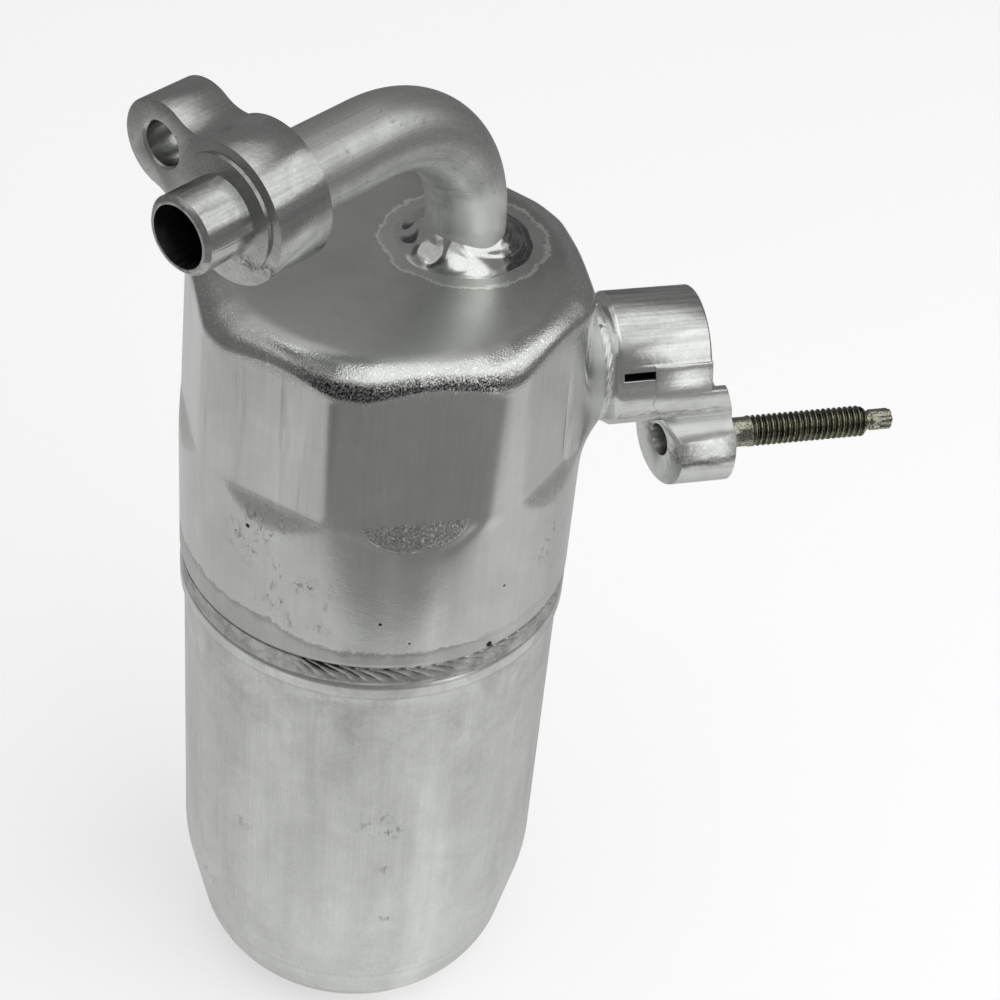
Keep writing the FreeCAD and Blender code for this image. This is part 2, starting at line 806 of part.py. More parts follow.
def oil_filter_mesh():
    """Fine mesh sleeve inside the windows of the cage."""
    sill = floor_level + cage_floor
    outer = cage_radius - cage_wall
    hollow = rod_z(outer - mesh_wall, sill - overcut, pickup_low + overcut)
    sleeve = rod_z(outer, sill, pickup_low).cut(hollow)
    return sleeve.cut(u_bend(pickup_radius + inner_clearance))


def bag_chord():
    """Distance of the flat side of a bag from the plane of the tube legs."""
    return pickup_radius + bag_gap


def desiccant_bag(side):
    """Filled bag of drying beads that lies beside the legs, on the side given by its sign."""
    round_bag = rod_z(bag_radius, bag_bottom, bag_bottom + bag_height)
    keep = Part.makeBox(2 * bag_radius, bag_radius, bag_height)
    keep.translate(FreeCAD.Vector(-bag_radius, bag_chord(), bag_bottom))
    bag = round_bag.common(keep)
    bag = bag.makeFillet(bag_edge_radius, bag.Edges)
    if side < 0:
        bag.rotate(FreeCAD.Vector(), FreeCAD.Vector(0, 0, 1), 180)
    return bag


def bag_tie():
    """Strap round both bags, which presses them against the legs."""

    def loop(radius):
        half = bag_chord() + bag_edge_radius
        reach = math.sqrt(radius ** 2 - half ** 2)
        bottom = tie_level

        def spot(x, y):
            return FreeCAD.Vector(x, y, bottom)

        edges = [
            line(spot(reach, -half), spot(reach, half)),
            arc(spot(reach, half), spot(0, radius), spot(-reach, half)),
            line(spot(-reach, half), spot(-reach, -half)),
            arc(spot(-reach, -half), spot(0, -radius), spot(reach, -half)),
        ]
        return Part.Face(Part.Wire(edges)).extrude(FreeCAD.Vector(0, 0, tie_width))

    return loop(bag_radius + tie_thickness).cut(loop(bag_radius))


parts = {
    "upper_shell": upper_shell(),
    "lower_can": lower_can(),
    "girth_weld": girth_weld(),
    "inlet_tube": inlet_tube(),
    "inlet_tube_weld": inlet_tube_weld(),
    "inlet_block": inlet_block(),
    "inlet_block_braze": inlet_block_braze(),
    "outlet_block": outlet_block(),
    "outlet_weld": outlet_weld(),
    "clamp_stud": clamp_stud(),
    "pickup_tube": pickup_tube(),
    "outlet_sleeve_seal": outlet_sleeve_seal(),
    "deflector": deflector(),
    "leg_spacer": leg_spacer(),
    "oil_filter_cage": oil_filter_cage(),
    "oil_filter_mesh": oil_filter_mesh(),
    "desiccant_bag_front": desiccant_bag(-1),
    "desiccant_bag_rear": desiccant_bag(1),
    "bag_tie": bag_tie(),
}

os.makedirs("parts", exist_ok=True)
for name, shape in parts.items():
    shape.exportStep(f"parts/{name}.step")
    print(name, len(shape.Solids), shape.isValid(), round(shape.Volume))
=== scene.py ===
import math

import bmesh
import bpy
from mathutils import Matrix, Vector, noise


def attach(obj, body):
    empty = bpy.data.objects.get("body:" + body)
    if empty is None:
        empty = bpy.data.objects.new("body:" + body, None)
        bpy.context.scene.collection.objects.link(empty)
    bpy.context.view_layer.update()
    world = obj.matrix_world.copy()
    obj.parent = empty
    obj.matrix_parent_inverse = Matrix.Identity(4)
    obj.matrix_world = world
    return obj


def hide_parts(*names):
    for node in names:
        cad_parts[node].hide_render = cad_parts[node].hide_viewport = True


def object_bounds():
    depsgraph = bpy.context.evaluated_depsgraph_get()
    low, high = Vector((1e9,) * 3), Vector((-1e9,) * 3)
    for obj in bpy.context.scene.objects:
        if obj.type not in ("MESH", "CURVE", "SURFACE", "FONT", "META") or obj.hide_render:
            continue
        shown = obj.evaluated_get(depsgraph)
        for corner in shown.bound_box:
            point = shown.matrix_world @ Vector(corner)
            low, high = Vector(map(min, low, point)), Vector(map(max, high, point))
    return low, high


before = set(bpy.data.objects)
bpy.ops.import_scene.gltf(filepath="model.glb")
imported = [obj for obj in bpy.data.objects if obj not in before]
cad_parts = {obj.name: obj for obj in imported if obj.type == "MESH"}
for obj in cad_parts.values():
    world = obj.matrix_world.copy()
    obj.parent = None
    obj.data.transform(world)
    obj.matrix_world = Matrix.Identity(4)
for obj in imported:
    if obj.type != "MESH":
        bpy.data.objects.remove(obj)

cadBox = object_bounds()
mm = 0.001
tau = 2 * math.pi

# places that several pieces share
layout = {
    "inletX": 18.1 * mm,
    "inletY": 4.35 * mm,
    "inletHeading": 35.2,
    "top": 140.45 * mm,
    "seam": 55.3 * mm,
    "outletLevel": 105.3 * mm,
    "studLevel": 77.5 * mm,
}


# Mesh helpers

def ringMesh(name, rows, looped=False):
    # rings of points joined by quads; the last one meets the first, or both ends are capped
    count = len(rows[0])
    points = [tuple(point) for row in rows for point in row]
    faces = []
    for j in range(len(rows) if looped else len(rows) - 1):
        low, high = j * count, (j + 1) % len(rows) * count
        for i in range(count):
            k = (i + 1) % count
            faces.append((low + i, low + k, high + k, high + i))
    for first in () if looped else (0, (len(rows) - 1) * count):
        middle = sum((Vector(points[first + i]) for i in range(count)), Vector()) / count
        points.append(tuple(middle))
        tip = len(points) - 1
        faces += [(tip, first + i, first + (i + 1) % count) for i in range(count)]
    mesh = bpy.data.meshes.new(name)
    mesh.from_pydata(points, [], faces)
    return mesh


def shadeSmooth(mesh, sharpAngle):
    mesh.polygons.foreach_set("use_smooth", [True] * len(mesh.polygons))
    mesh.set_sharp_from_angle(angle=math.radians(sharpAngle))
    return mesh


def finishMesh(mesh, sharpAngle=40):
    # doubles merged and faces turned outwards
    work = bmesh.new()
    work.from_mesh(mesh)
    bmesh.ops.remove_doubles(work, verts=work.verts, dist=0.002 * mm)
    bmesh.ops.recalc_face_normals(work, faces=work.faces)
    work.to_mesh(mesh)
    work.free()
    return shadeSmooth(mesh, sharpAngle)


def holderFor(mesh):
    holder = bpy.data.objects.new(mesh.name, mesh)
    bpy.context.scene.collection.objects.link(holder)
    return holder


def baked(holder):
    # plain mesh of an object with its modifiers used up
    bpy.context.view_layer.update()
    evaluated = holder.evaluated_get(bpy.context.evaluated_depsgraph_get())
    mesh = bpy.data.meshes.new_from_object(evaluated)
    holder.modifiers.clear()
    bpy.data.objects.remove(holder)
    return mesh


def cover(mesh, material):
    mesh.materials.clear()
    mesh.materials.append(material)


def addPiece(name, mesh, material, slotName, *nodes):
    cover(mesh, material)
    piece = bpy.data.objects.new(name, mesh)
    bpy.context.scene.collection.objects.link(piece)
    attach(piece, "root")
    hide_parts(*nodes)
    print(name, len(mesh.polygons), "faces")


def turnedRows(profile, steps, axis="z", centre=(0, 0, 0)):
    # (radius, station) pairs turned about an axis through a point
    rows = []
    for radius, station in profile:
        row = []
        for i in range(steps):
            angle = tau * i / steps
            across = (radius * math.cos(angle), radius * math.sin(angle))
            local = (*across, station) if axis == "z" else (station, *across)
            row.append(tuple(a + b for a, b in zip(centre, local)))
        rows.append(row)
    return rows


def unit(value):
    return min(1.0, max(0.0, value))


# Node helpers

class NodeSheet:
    # short ways to add and join the nodes of a tree
    def __init__(self, tree):
        self.tree = tree

    def add(self, kind, **values):
        node = self.tree.nodes.new(kind)
        for key, value in values.items():
            setattr(node, key, value)
        node.location = (220 * len(self.tree.nodes), 0)
        return node

    def feed(self, socket, value):
        if isinstance(value, bpy.types.NodeSocket):
            self.tree.links.new(value, socket)
        elif socket.type == "RGBA":
            socket.default_value = (*value, 1)
        else:
            socket.default_value = value

    def maths(self, operation, *values):
        node = self.add("ShaderNodeMath", operation=operation)
        for socket, value in zip(node.inputs, values):
            self.feed(socket, value)
        return node.outputs[0]

    def chain(self, operation, first, *others):
        for other in others:
            first = self.maths(operation, first, other)
        return first

    def product(self, *values):
        return self.chain("MULTIPLY", *values)

    def total(self, *values):
        return self.chain("ADD", *values)

    def larger(self, *values):
        return self.chain("MAXIMUM", *values)

    def minus(self, first, second):
        return self.maths("SUBTRACT", first, second)

    def over(self, first, second):
        return self.maths("DIVIDE", first, second)

    def gap(self, first, second):
        return self.maths("ABSOLUTE", self.minus(first, second))

    def split(self, vector):
        node = self.add("ShaderNodeSeparateXYZ")
        self.feed(node.inputs[0], vector)
        return node.outputs

    def turnAndReach(self, first, second):
        # angle about an axis and distance from it
        square = self.total(self.product(first, first), self.product(second, second))
        return self.maths("ARCTAN2", second, first), self.maths("SQRT", square)

    def remap(self, value, low, high, toLow=0.0, toHigh=1.0, soft=False):
        node = self.add("ShaderNodeMapRange", interpolation_type="SMOOTHSTEP" if soft else "LINEAR")
        for name, item in zip(("Value", "From Min", "From Max", "To Min", "To Max"),
                              (value, low, high, toLow, toHigh)):
            self.feed(node.inputs[name], item)
        return node.outputs["Result"]

    def fall(self, value, low, high, soft=False):
        return self.remap(value, low, high, 1.0, 0.0, soft)

    def between(self, value, low, lowEnd, highStart, high, soft=False):
        # 1 inside a band, with a slope at each end
        rising = self.remap(value, low, lowEnd, soft=soft)
        return self.product(rising, self.fall(value, highStart, high, soft))


class FinishSheet(NodeSheet):
    # one metal or plastic finish, built on the piece's own coordinates
    def __init__(self, name, metallic=1.0):
        self.material = bpy.data.materials.new(name)
        self.material.use_nodes = True
        super().__init__(self.material.node_tree)
        self.tree.nodes.clear()
        output = self.add("ShaderNodeOutputMaterial")
        self.shader = self.add("ShaderNodeBsdfPrincipled")
        self.shader.inputs["Metallic"].default_value = metallic
        self.tree.links.new(self.shader.outputs[0], output.inputs[0])
        self.place = self.add("ShaderNodeTexCoord").outputs["Object"]
        self.x, self.y, self.z = self.split(self.place)

    def stretched(self, scale, turn=(0, 0, 0), place=None):
        node = self.add("ShaderNodeMapping")
        self.feed(node.inputs["Vector"], place or self.place)
        node.inputs["Scale"].default_value = scale
        node.inputs["Rotation"].default_value = turn
        return node.outputs[0]

    def cloud(self, scale, detail, roughness, distortion=0.0, turn=(0, 0, 0), place=None):
        # noise; three scales stretch it along the axes
        node = self.add("ShaderNodeTexNoise")
        place = place or self.place
        if isinstance(scale, tuple):
            place, scale = self.stretched(scale, turn, place), 1
        self.feed(node.inputs["Vector"], place)
        node.inputs["Scale"].default_value = scale
        node.inputs["Detail"].default_value = detail
        node.inputs["Roughness"].default_value = roughness
        node.inputs["Distortion"].default_value = distortion
        return node.outputs["Fac"]

    def cells(self, place, scale):
        node = self.add("ShaderNodeTexVoronoi")
        self.feed(node.inputs["Vector"], place)
        node.inputs["Scale"].default_value = scale
        return node.outputs["Distance"]

    def vary(self, value, low, high):
        # spreads the middle part of a noise over a range
        return self.remap(value, 0.3, 0.7, low, high)

    def attribute(self, name):
        return self.add("ShaderNodeAttribute", attribute_name=name).outputs["Fac"]

    def near(self, point, inner, outer):
        # 1 within the inner distance of a point, falling to 0 at the outer one
        node = self.add("ShaderNodeVectorMath", operation="DISTANCE")
        self.feed(node.inputs[0], self.place)
        node.inputs[1].default_value = point
        return self.fall(node.outputs["Value"], inner, outer, True)

    def marks(self, spots, inner, outer, cover=1.0):
        # marks of use, each with its place and size in mm and its strength
        found = 0.0
        for x, y, z, size, strength in spots:
            spot = self.near((x * mm, y * mm, z * mm), inner * size * mm, outer * size * mm)
            found = self.larger(found, self.product(spot, cover, strength))
        return found

    def mix(self, share, first, second):
        node = self.add("ShaderNodeMix", data_type="RGBA")
        for index, value in zip((0, 6, 7), (share, first, second)):
            self.feed(node.inputs[index], value)
        return node.outputs[2]

    def bareMetal(self, tone, darkest=0.0):
        # bare aluminium, with a trace of green
        return self.mix(self.larger(tone, darkest), (0.0, 0.0, 0.0), (0.982, 1.0, 0.966))

    def relief(self, *layers):
        # heights laid over each other, each with its distance in mm
        normal = None
        for height, distance in layers:
            node = self.add("ShaderNodeBump")
            node.inputs["Distance"].default_value = distance * mm
            self.feed(node.inputs["Height"], height)
            if normal is not None:
                self.feed(node.inputs["Normal"], normal)
            normal = node.outputs["Normal"]
        return normal

    def finish(self, colour, roughness, normal=None):
        self.feed(self.shader.inputs["Base Color"], colour)
        self.feed(self.shader.inputs["Roughness"], roughness)
        if normal is not None:
            self.feed(self.shader.inputs["Normal"], normal)
        return self.material


class RuleSheet(NodeSheet):
    # geometry tree that moves the points of a plain base form, with a named input for each value
    def __init__(self, name, values):
        super().__init__(bpy.data.node_groups.new(name, "GeometryNodeTree"))
        face = self.tree.interface
        face.new_socket("Base form", in_out="INPUT", socket_type="NodeSocketGeometry")
        for label in values:
            face.new_socket(label, in_out="INPUT", socket_type="NodeSocketFloat")
        face.new_socket("Finish", in_out="INPUT", socket_type="NodeSocketMaterial")
        face.new_socket("Shaped", in_out="OUTPUT", socket_type="NodeSocketGeometry")
        self.given = self.add("NodeGroupInput").outputs
        self.place = self.add("GeometryNodeInputPosition").outputs[0]

    def along(self, x=0.0, y=0.0, z=0.0):
        node = self.add("ShaderNodeCombineXYZ")
        for socket, value in zip(node.inputs, (x, y, z)):
            self.feed(socket, value)
        return node.outputs[0]

    def waver(self, scale, detail=1.0, vector=None):
        node = self.add("ShaderNodeTexNoise", noise_dimensions="4D")
        self.feed(node.inputs["Vector"], vector or self.place)
        self.feed(node.inputs["W"], self.given["Seed"])
        self.feed(node.inputs["Scale"], scale)
        node.inputs["Detail"].default_value = detail
        return node.outputs["Fac"]

    def wander(self, scale, detail=1.0):
        # noise about zero
        return self.minus(self.waver(scale, detail), 0.5)

    def ripple(self, phase, peak):
        # each ripple starts with a steep lip and falls away over the one before
        saw = self.maths("FRACT", phase)
        return self.product(self.remap(saw, 0.0, peak, soft=True), self.fall(saw, peak, 1.0, True))

    def outwards(self, push, reach, *sides):
        # parts of a push away from the axis
        return [self.product(push, self.over(side, reach)) for side in sides]

    def close(self, offset, crest):
        # moves the points and keeps how far each one stands out for the finish
        moved = self.add("GeometryNodeSetPosition")
        self.feed(moved.inputs["Geometry"], self.given["Base form"])
        self.feed(moved.inputs["Offset"], offset)
        kept = self.add("GeometryNodeStoreNamedAttribute", data_type="FLOAT", domain="POINT")
        self.feed(kept.inputs["Geometry"], moved.outputs[0])
        kept.inputs["Name"].default_value = "crest"
        self.feed(kept.inputs["Value"], crest)
        real = self.add("GeometryNodeRealizeInstances")
        self.feed(real.inputs[0], kept.outputs[0])
        covered = self.add("GeometryNodeSetMaterial")
        self.feed(covered.inputs["Geometry"], real.outputs[0])
        self.feed(covered.inputs["Material"], self.given["Finish"])
        end = self.add("NodeGroupOutput")
        self.feed(end.inputs[0], covered.outputs[0])
        return self.tree


def ruledMesh(mesh, tree, values, material, sharpAngle=60):
    # base form shaped by a geometry tree, as a plain mesh
    holder = holderFor(mesh)
    modifier = holder.modifiers.new(tree.name, "NODES")
    modifier.node_group = tree
    given = {**values, "Finish": material}
    for item in tree.interface.items_tree:
        if item.name in given:
            modifier[item.identifier] = given[item.name]
    return finishMesh(baked(holder), sharpAngle)


# Lower can

canSizes = {
    "radius": 48.1 * mm,
    "rimRadius": 49.2 * mm,
    "wall": 3.0 * mm,
    "rimFoot": 44.1 * mm,
    "rimTop": 49.05 * mm,
    "spigotRadius": 46.65 * mm,
    "spigotTop": 58.2 * mm,
    "lipRound": 0.55 * mm,
    "taperAngle": 11.3,
    "blendRadius": 45.3 * mm,
    "taperLength": 19.7 * mm,
    "cornerRadius": 21.9 * mm,
    "waver": 0.07 * mm,
    "steps": 240,
}

canMarks = {
    "tone": 0.71,
    "roughness": 0.33,
    "dullUnderRim": (14 * mm, 42 * mm),
    "brightFoot": (-10 * mm, -60 * mm),
    "rim": (43.6 * mm, 44.0 * mm, 49.0 * mm, 50.0 * mm),
    # rimFoot: grime on the lip's lower rounding, and a painted shadow just under the lip
    "rimFoot": (43.3 * mm, 43.9 * mm, 44.4 * mm, 45.4 * mm),
    # painted highlight: a soft vertical bright streak down the front right of the wall
    "highlightTurn": math.radians(-80),
    "highlightHeights": (15 * mm, -20 * mm),
    "bandHeights": (-60 * mm, -75 * mm),
    # x, y, z and size in mm, strength
    "smudges": [
        (-8.0, -47.4, -3.5, 4.5, 0.55), (-2.5, -48.0, -4.5, 4.0, 0.6), (-5.0, -48.0, 1.0, 3.5, 0.35),
        (-46.0, -14.0, -46.0, 5.0, 0.5), (-44.0, -19.0, -47.5, 4.0, 0.5), (-3.5, -48.0, -19.1, 2.0, 0.6),
        (-2.5, -48.0, -38.0, 2.5, 0.5), (-38.4, -29.0, -14.2, 4.0, 0.3),
    ],
}


def arcPairs(centreX, centreZ, radius, start, end, parts):
    # outline points of an arc that runs downwards, angles below the horizontal
    angles = [start + (end - start) * k / parts for k in range(parts + 1)]
    return [(centreX + radius * math.cos(a), centreZ - radius * math.sin(a)) for a in angles]


def canOutline(s, inset):
    # straight wall, taper and base, moved in by the inset
    slope = math.radians(s["taperAngle"])
    foot = s["rimFoot"]
    outline = [(s["radius"] - inset, foot - 2 * foot * k / 30) for k in range(1, 30)]
    blendX = s["radius"] - s["blendRadius"]
    outline += arcPairs(blendX, -foot, s["blendRadius"] - inset, 0, slope, 8)
    endX = blendX + s["blendRadius"] * math.cos(slope) - math.sin(slope) * s["taperLength"]
    endZ = -foot - s["blendRadius"] * math.sin(slope) - math.cos(slope) * s["taperLength"]
    cornerX = endX - s["cornerRadius"] * math.cos(slope)
    cornerZ = endZ + s["cornerRadius"] * math.sin(slope)
    outline += arcPairs(cornerX, cornerZ, s["cornerRadius"] - inset, slope, math.pi / 2, 24)
    base = outline[-1][1]
    return outline + [(cornerX * k / 4, base) for k in (3, 2, 1)]


def buildCan(s):
    rim, lip, foot, top = s["rimRadius"], s["lipRound"], s["rimFoot"], s["rimTop"]
    spigot, end = s["spigotRadius"], s["spigotTop"]
    outer = [(spigot - 0.6 * mm, end), (spigot, end - 0.6 * mm), (spigot, top + 2.4 * mm)]
    outer += [(rim - 0.5 * mm, top - 0.05 * mm)]
    outer += [(rim, top - 0.7 * mm)] + [(rim, top - (top - foot) * k / 6) for k in range(2, 5)]
    outer += arcPairs(rim - lip, foot + lip, lip, 0, math.pi / 2, 6)
    outer += [(s["radius"] + 0.12 * mm, foot + 0.02 * mm), (s["radius"] + 0.02 * mm, foot - 0.15 * mm)]
    outer += canOutline(s, 0.0)
    inner = [(s["radius"] - s["wall"], end)] + canOutline(s, s["wall"])
    rows = turnedRows(list(reversed(outer)) + inner, s["steps"])
    # the drawn wall is slightly uneven
    for row in rows:
        for i, (x, y, z) in enumerate(row):
            drift = (noise.noise(Vector((x * 28, y * 28, z * 12))) - 1) * s["waver"]
            reach = math.hypot(x, y)
            if reach > 40 * mm:
                row[i] = (x * (1 + drift / reach), y * (1 + drift / reach), z)
    return finishMesh(ringMesh("lowerCanSkin", rows))


def drawnCanFinish(s):
    sheet = FinishSheet("drawnCanMetal")
    smear = sheet.cloud((80, 80, 22), 5, 0.65)
    line = sheet.cloud((1700, 1700, 22), 3, 0.65)
    band = sheet.cloud((6, 6, 420), 3, 0.6)
    patch = sheet.cloud(70, 6, 0.7, 0.8)
    grain = sheet.cloud(1400, 2, 0.7)
    streak = sheet.remap(sheet.cloud((260, 260, 9), 3, 0.6), 0.5, 0.72)
    underRim = sheet.remap(sheet.z, *s["dullUnderRim"], soft=True)
    turn, _ = sheet.turnAndReach(sheet.x, sheet.y)
    # painted highlight: a soft vertical bright streak on the front right, lower down the wall
    front = sheet.fall(sheet.gap(turn, s["highlightTurn"]), 0.03, 0.16, True)
    tone = sheet.total(
        s["tone"],
        sheet.remap(sheet.z, *s["brightFoot"], 0.0, 0.10, True),
        sheet.vary(smear, -0.07, 0.06),
        sheet.vary(patch, -0.05, 0.05),
        sheet.vary(line, -0.03, 0.03),
        sheet.vary(grain, -0.03, 0.03),
        sheet.product(underRim, sheet.remap(patch, 0.35, 0.6, -0.09, 0.03)),
        sheet.product(underRim, streak, -0.06),
        sheet.product(sheet.between(sheet.z, *s["rim"]), 0.05),
        # grime on the lip's lower rounding, and a painted shadow just under the lip
        sheet.product(sheet.between(sheet.z, *s["rimFoot"]), -0.20),
        sheet.product(front, sheet.remap(sheet.z, *s["highlightHeights"]), 0.13),
        sheet.product(sheet.remap(sheet.z, *s["bandHeights"]), sheet.remap(band, 0.35, 0.65, -0.07, 0.07)),
    )
    blur = sheet.remap(sheet.cloud((600, 600, 350), 5, 0.8), 0.52, 0.60)
    dirt = sheet.marks(s["smudges"], 0.2, 1.0, blur)
    colour = sheet.mix(dirt, sheet.bareMetal(tone), (0.05, 0.048, 0.04))
    rough = sheet.total(s["roughness"], sheet.vary(smear, 0.05, -0.04), sheet.product(dirt, 0.3))
    return sheet.finish(colour, rough, sheet.relief((line, 0.005), (patch, 0.12), (grain, 0.012)))


canMetal = drawnCanFinish(canMarks)
addPiece("lowerCanSkin", buildCan(canSizes), canMetal, "shell_aluminium", "lower_can")


# Upper shell

shellSizes = {
    "radius": 49.25 * mm,
    "topRadius": 48.1 * mm,
    "rampLevel": 90.8 * mm,
    "flatLevel": 98.0 * mm,
    "top": layout["top"],
    "foot": layout["seam"],
    "innerFoot": 52.6 * mm,
    "flatCount": 8,
    "flatFoot": 47.3 * mm,
    "flatTop": 45.95 * mm,
    "wall": 2.5 * mm,
    "edgeRound": 4.8 * mm,
    "edgeReach": 8.0 * mm,
    "cornerRound": 2.2 * mm,
    "softness": 0.28 * mm,
    "rampSoftness": 0.16 * mm,
    "padLevel": layout["outletLevel"],
    "padFace": 50.5 * mm,
    "padRadius": 16.5 * mm,
    "padBlend": 1.2 * mm,
    "tubeHole": (layout["inletX"], layout["inletY"], 9.62 * mm),
    "outletHole": 11.6 * mm,
    "waver": 0.05 * mm,
    "steps": 480,
}

# marks of the press, the heat and of use, and a painted highlight on the crown of the front edge; each pair
# holds the two ends of a soft change
shellMarks = {
    "tone": 0.62,
    "roughness": 0.17,
    # painted highlight on the crown of the front edge: where it begins and where it is full
    "crownHighlightDrop": (3.4 * mm, 2.2 * mm),
    "crownHighlightFront": (-18 * mm, -30 * mm),
    "rampDrop": (40 * mm, 41 * mm),
    "heatedReach": (19 * mm, 26 * mm),
    "heatedSide": (36 * mm, 42 * mm),
    "moonMiddle": -2.2 * mm,
    "moonHalf": 12.6 * mm,
    "moonTop": 99.0 * mm,
    "moonFoot": 91.4 * mm,
    "moonDepth": (-46 * mm, -45 * mm),
    "ringRadius": 20.3 * mm,
    "ringRagged": 5.0 * mm,
    "scorchReach": 4.2 * mm,
    "scorchRagged": 6.0 * mm,
    "runLeft": (-24 * mm, -28 * mm),
    "runHeights": (92 * mm, 112 * mm, 130 * mm, 138 * mm),
    # x, y, z and size in mm, strength
    "pits": [
        (-38.0, -31.2, 89.3, 0.6, 1.0), (18.9, -45.4, 56.3, 0.8, 1.0), (19.3, -45.2, 55.4, 0.6, 1.0),
        (-9.2, -48.3, 69.5, 0.45, 1.0), (-29.0, -39.0, 80.8, 0.45, 1.0), (-36.0, -33.0, 97.0, 0.35, 1.0),
        (21.5, -44.2, 74.0, 0.35, 1.0), (-2.0, -49.2, 63.0, 0.3, 1.0),
    ],
    "smudges": [
        (-29.3, -39.0, 80.5, 5.0, 0.55), (-23.5, -43.0, 77.5, 3.5, 0.55), (-38.6, -30.2, 84.0, 5.0, 0.55),
        (35.5, -33.8, 78.0, 6.0, 0.55), (-31.0, -38.0, 70.0, 6.0, 0.55), (-25.5, -42.0, 66.0, 4.0, 0.55),
        (-35.0, -34.5, 92.0, 5.0, 0.55), (-20.0, -45.0, 72.5, 3.0, 0.55),
    ],
}


def softMin(values, softness):
    low = min(values)
    return low - softness * math.log(sum(math.exp((low - v) / softness) for v in values))


def softMax(values, softness):
    return -softMin([-v for v in values], softness)


def offFlat(s, angle):
    # turn away from the middle of the nearest flat
    step = tau / s["flatCount"]
    return angle - round(angle / step) * step


def flatApothem(s, height):
    # distance of a flat from the axis: the skirt, the pressed ramp, then the long flat
    rampSlope = (s["radius"] - s["flatFoot"]) / (s["flatLevel"] - s["rampLevel"])
    flatSlope = (s["flatFoot"] - s["flatTop"]) / (s["top"] - s["flatLevel"])
    ramp = s["radius"] - rampSlope * (height - s["rampLevel"])
    flat = s["flatFoot"] - flatSlope * (height - s["flatLevel"])
    return softMax([ramp, flat], s["rampSoftness"])


def wallRadius(s, angle, height):
    # soft meeting of the round cup and its flats
    flat = flatApothem(s, height) / math.cos(offFlat(s, angle))
    rise = max(0.0, height - s["flatLevel"]) / (s["top"] - s["flatLevel"])
    cup = s["radius"] + rise * (s["topRadius"] - s["radius"])
    return softMin([flat, cup], s["softness"])


def padRadius(s, angle, height):
    # where a line from the axis meets the raised boss of the outlet, or 0 away from it
    if math.cos(angle) < 0.8:
        return 0.0
    x, slope, rise = s["padFace"], math.tan(angle), height - s["padLevel"]
    if math.hypot(x * slope, rise) > s["padRadius"]:
        # on the cone round the face, where x and the distance from the axis of the boss add up to reach
        reach, rest = s["padFace"] + s["padRadius"], 1 - slope ** 2
        x = (reach - math.sqrt(reach ** 2 - rest * (reach ** 2 - rise ** 2))) / rest
    return x / math.cos(angle)


def skinRadius(s, angle, height):
    drift = noise.noise(Vector((math.cos(angle) * 2, math.sin(angle) * 2, height * 25))) - 1
    wall = wallRadius(s, angle, height) + s["waver"] * drift
    pad = padRadius(s, angle, height)
    farBelow = pad <= wall - 12 * mm
    return wall if farBelow else softMax([wall, pad], s["padBlend"])


def cornerShare(s, angle):
    # 1 over the corners between the flats, 0 over their middles
    return math.sin(angle * s["flatCount"] / 2) ** 2


def edgeRounding(s, angle):
    # the rounded top edge is fuller over the corners
    return s["edgeRound"] + s["cornerRound"] * cornerShare(s, angle)


def cupRows(s, inset, foot, wallLevels):
    # rings from the foot of the wall up, over the rounded edge and in to the middle
    def polar(radius, angle, height):
        return (radius * math.cos(angle), radius * math.sin(angle), height)

    angles = [tau * i / s["steps"] for i in range(s["steps"])]
    shoulder = s["top"] - 8 * mm
    rows = []
    for k in range(wallLevels + 1):
        level = foot + (shoulder - foot) * k / wallLevels
        rows.append([polar(skinRadius(s, a, level) - inset, a, level) for a in angles])
    turns = 16
    for k in range(turns + 1):
        row = []
        for a in angles:
            rounding = edgeRounding(s, a)
            reach = rounding + s["edgeReach"] - s["edgeRound"]
            turn = k / turns * math.pi / 2
            z = s["top"] - rounding + rounding * math.sin(turn)
            r = skinRadius(s, a, z) - reach * (1 - math.cos(turn))
            row.append(polar(r - inset * math.cos(turn), a, z - inset * math.sin(turn)))
        rows.append(row)
    rim = rows[-1]
    for k in range(1, 10):
        rows.append([(x * (1 - k / 10), y * (1 - k / 10), z) for x, y, z in rim])
    return rows


def markPressed(s, mesh):
    # pressed is 1 on the stretched edge and less on the ramps; the painted dark band, shade standing in for
    # a dark reflection, runs along the foot of the front edge
    pressedValues, paintedDarkBandValues = [], []
    for vertex in mesh.vertices:
        x, y, z = vertex.co
        angle = math.atan2(y, x)
        above = z - s["top"] + edgeRounding(s, angle)
        edge = unit((above + 1.6 * mm) / (1.2 * mm)) * unit((s["top"] - 0.25 * mm - z) / (0.5 * mm))
        ramp = 0.0
        if s["rampLevel"] - 0.6 * mm < z < s["flatLevel"] + 0.4 * mm and y > -44 * mm:
            halfWidth = math.acos(min(1.0, flatApothem(s, z) / s["radius"]))
            ramp = unit((halfWidth - abs(offFlat(s, angle))) / 0.04 + 0.4) * 0.6
        pressedValues.append(max(edge, ramp))
        above /= mm
        front = unit((math.radians(36) - abs(angle + math.radians(97))) / math.radians(12))
        band = 3.3 + 0.9 * cornerShare(s, angle)
        paintedDarkBandValues.append(front * unit(above * 2) * unit((band - above) / 0.8))
    mesh.attributes.new("pressed", "FLOAT", "POINT").data.foreach_set("value", pressedValues)
    mesh.attributes.new("paintedDarkBand", "FLOAT", "POINT").data.foreach_set("value", paintedDarkBandValues)


def plug(name, radius, start, end):
    # closed cylinder between two points, used to cut a hole
    axis = Vector(end) - Vector(start)
    turn = axis.to_track_quat("Z", "Y").to_matrix()
    rows = [[Vector(start) + turn @ Vector(point) for point in row]
            for row in turnedRows([(radius, 0.0), (radius, axis.length)], 64)]
    return holderFor(finishMesh(ringMesh(name, rows)))


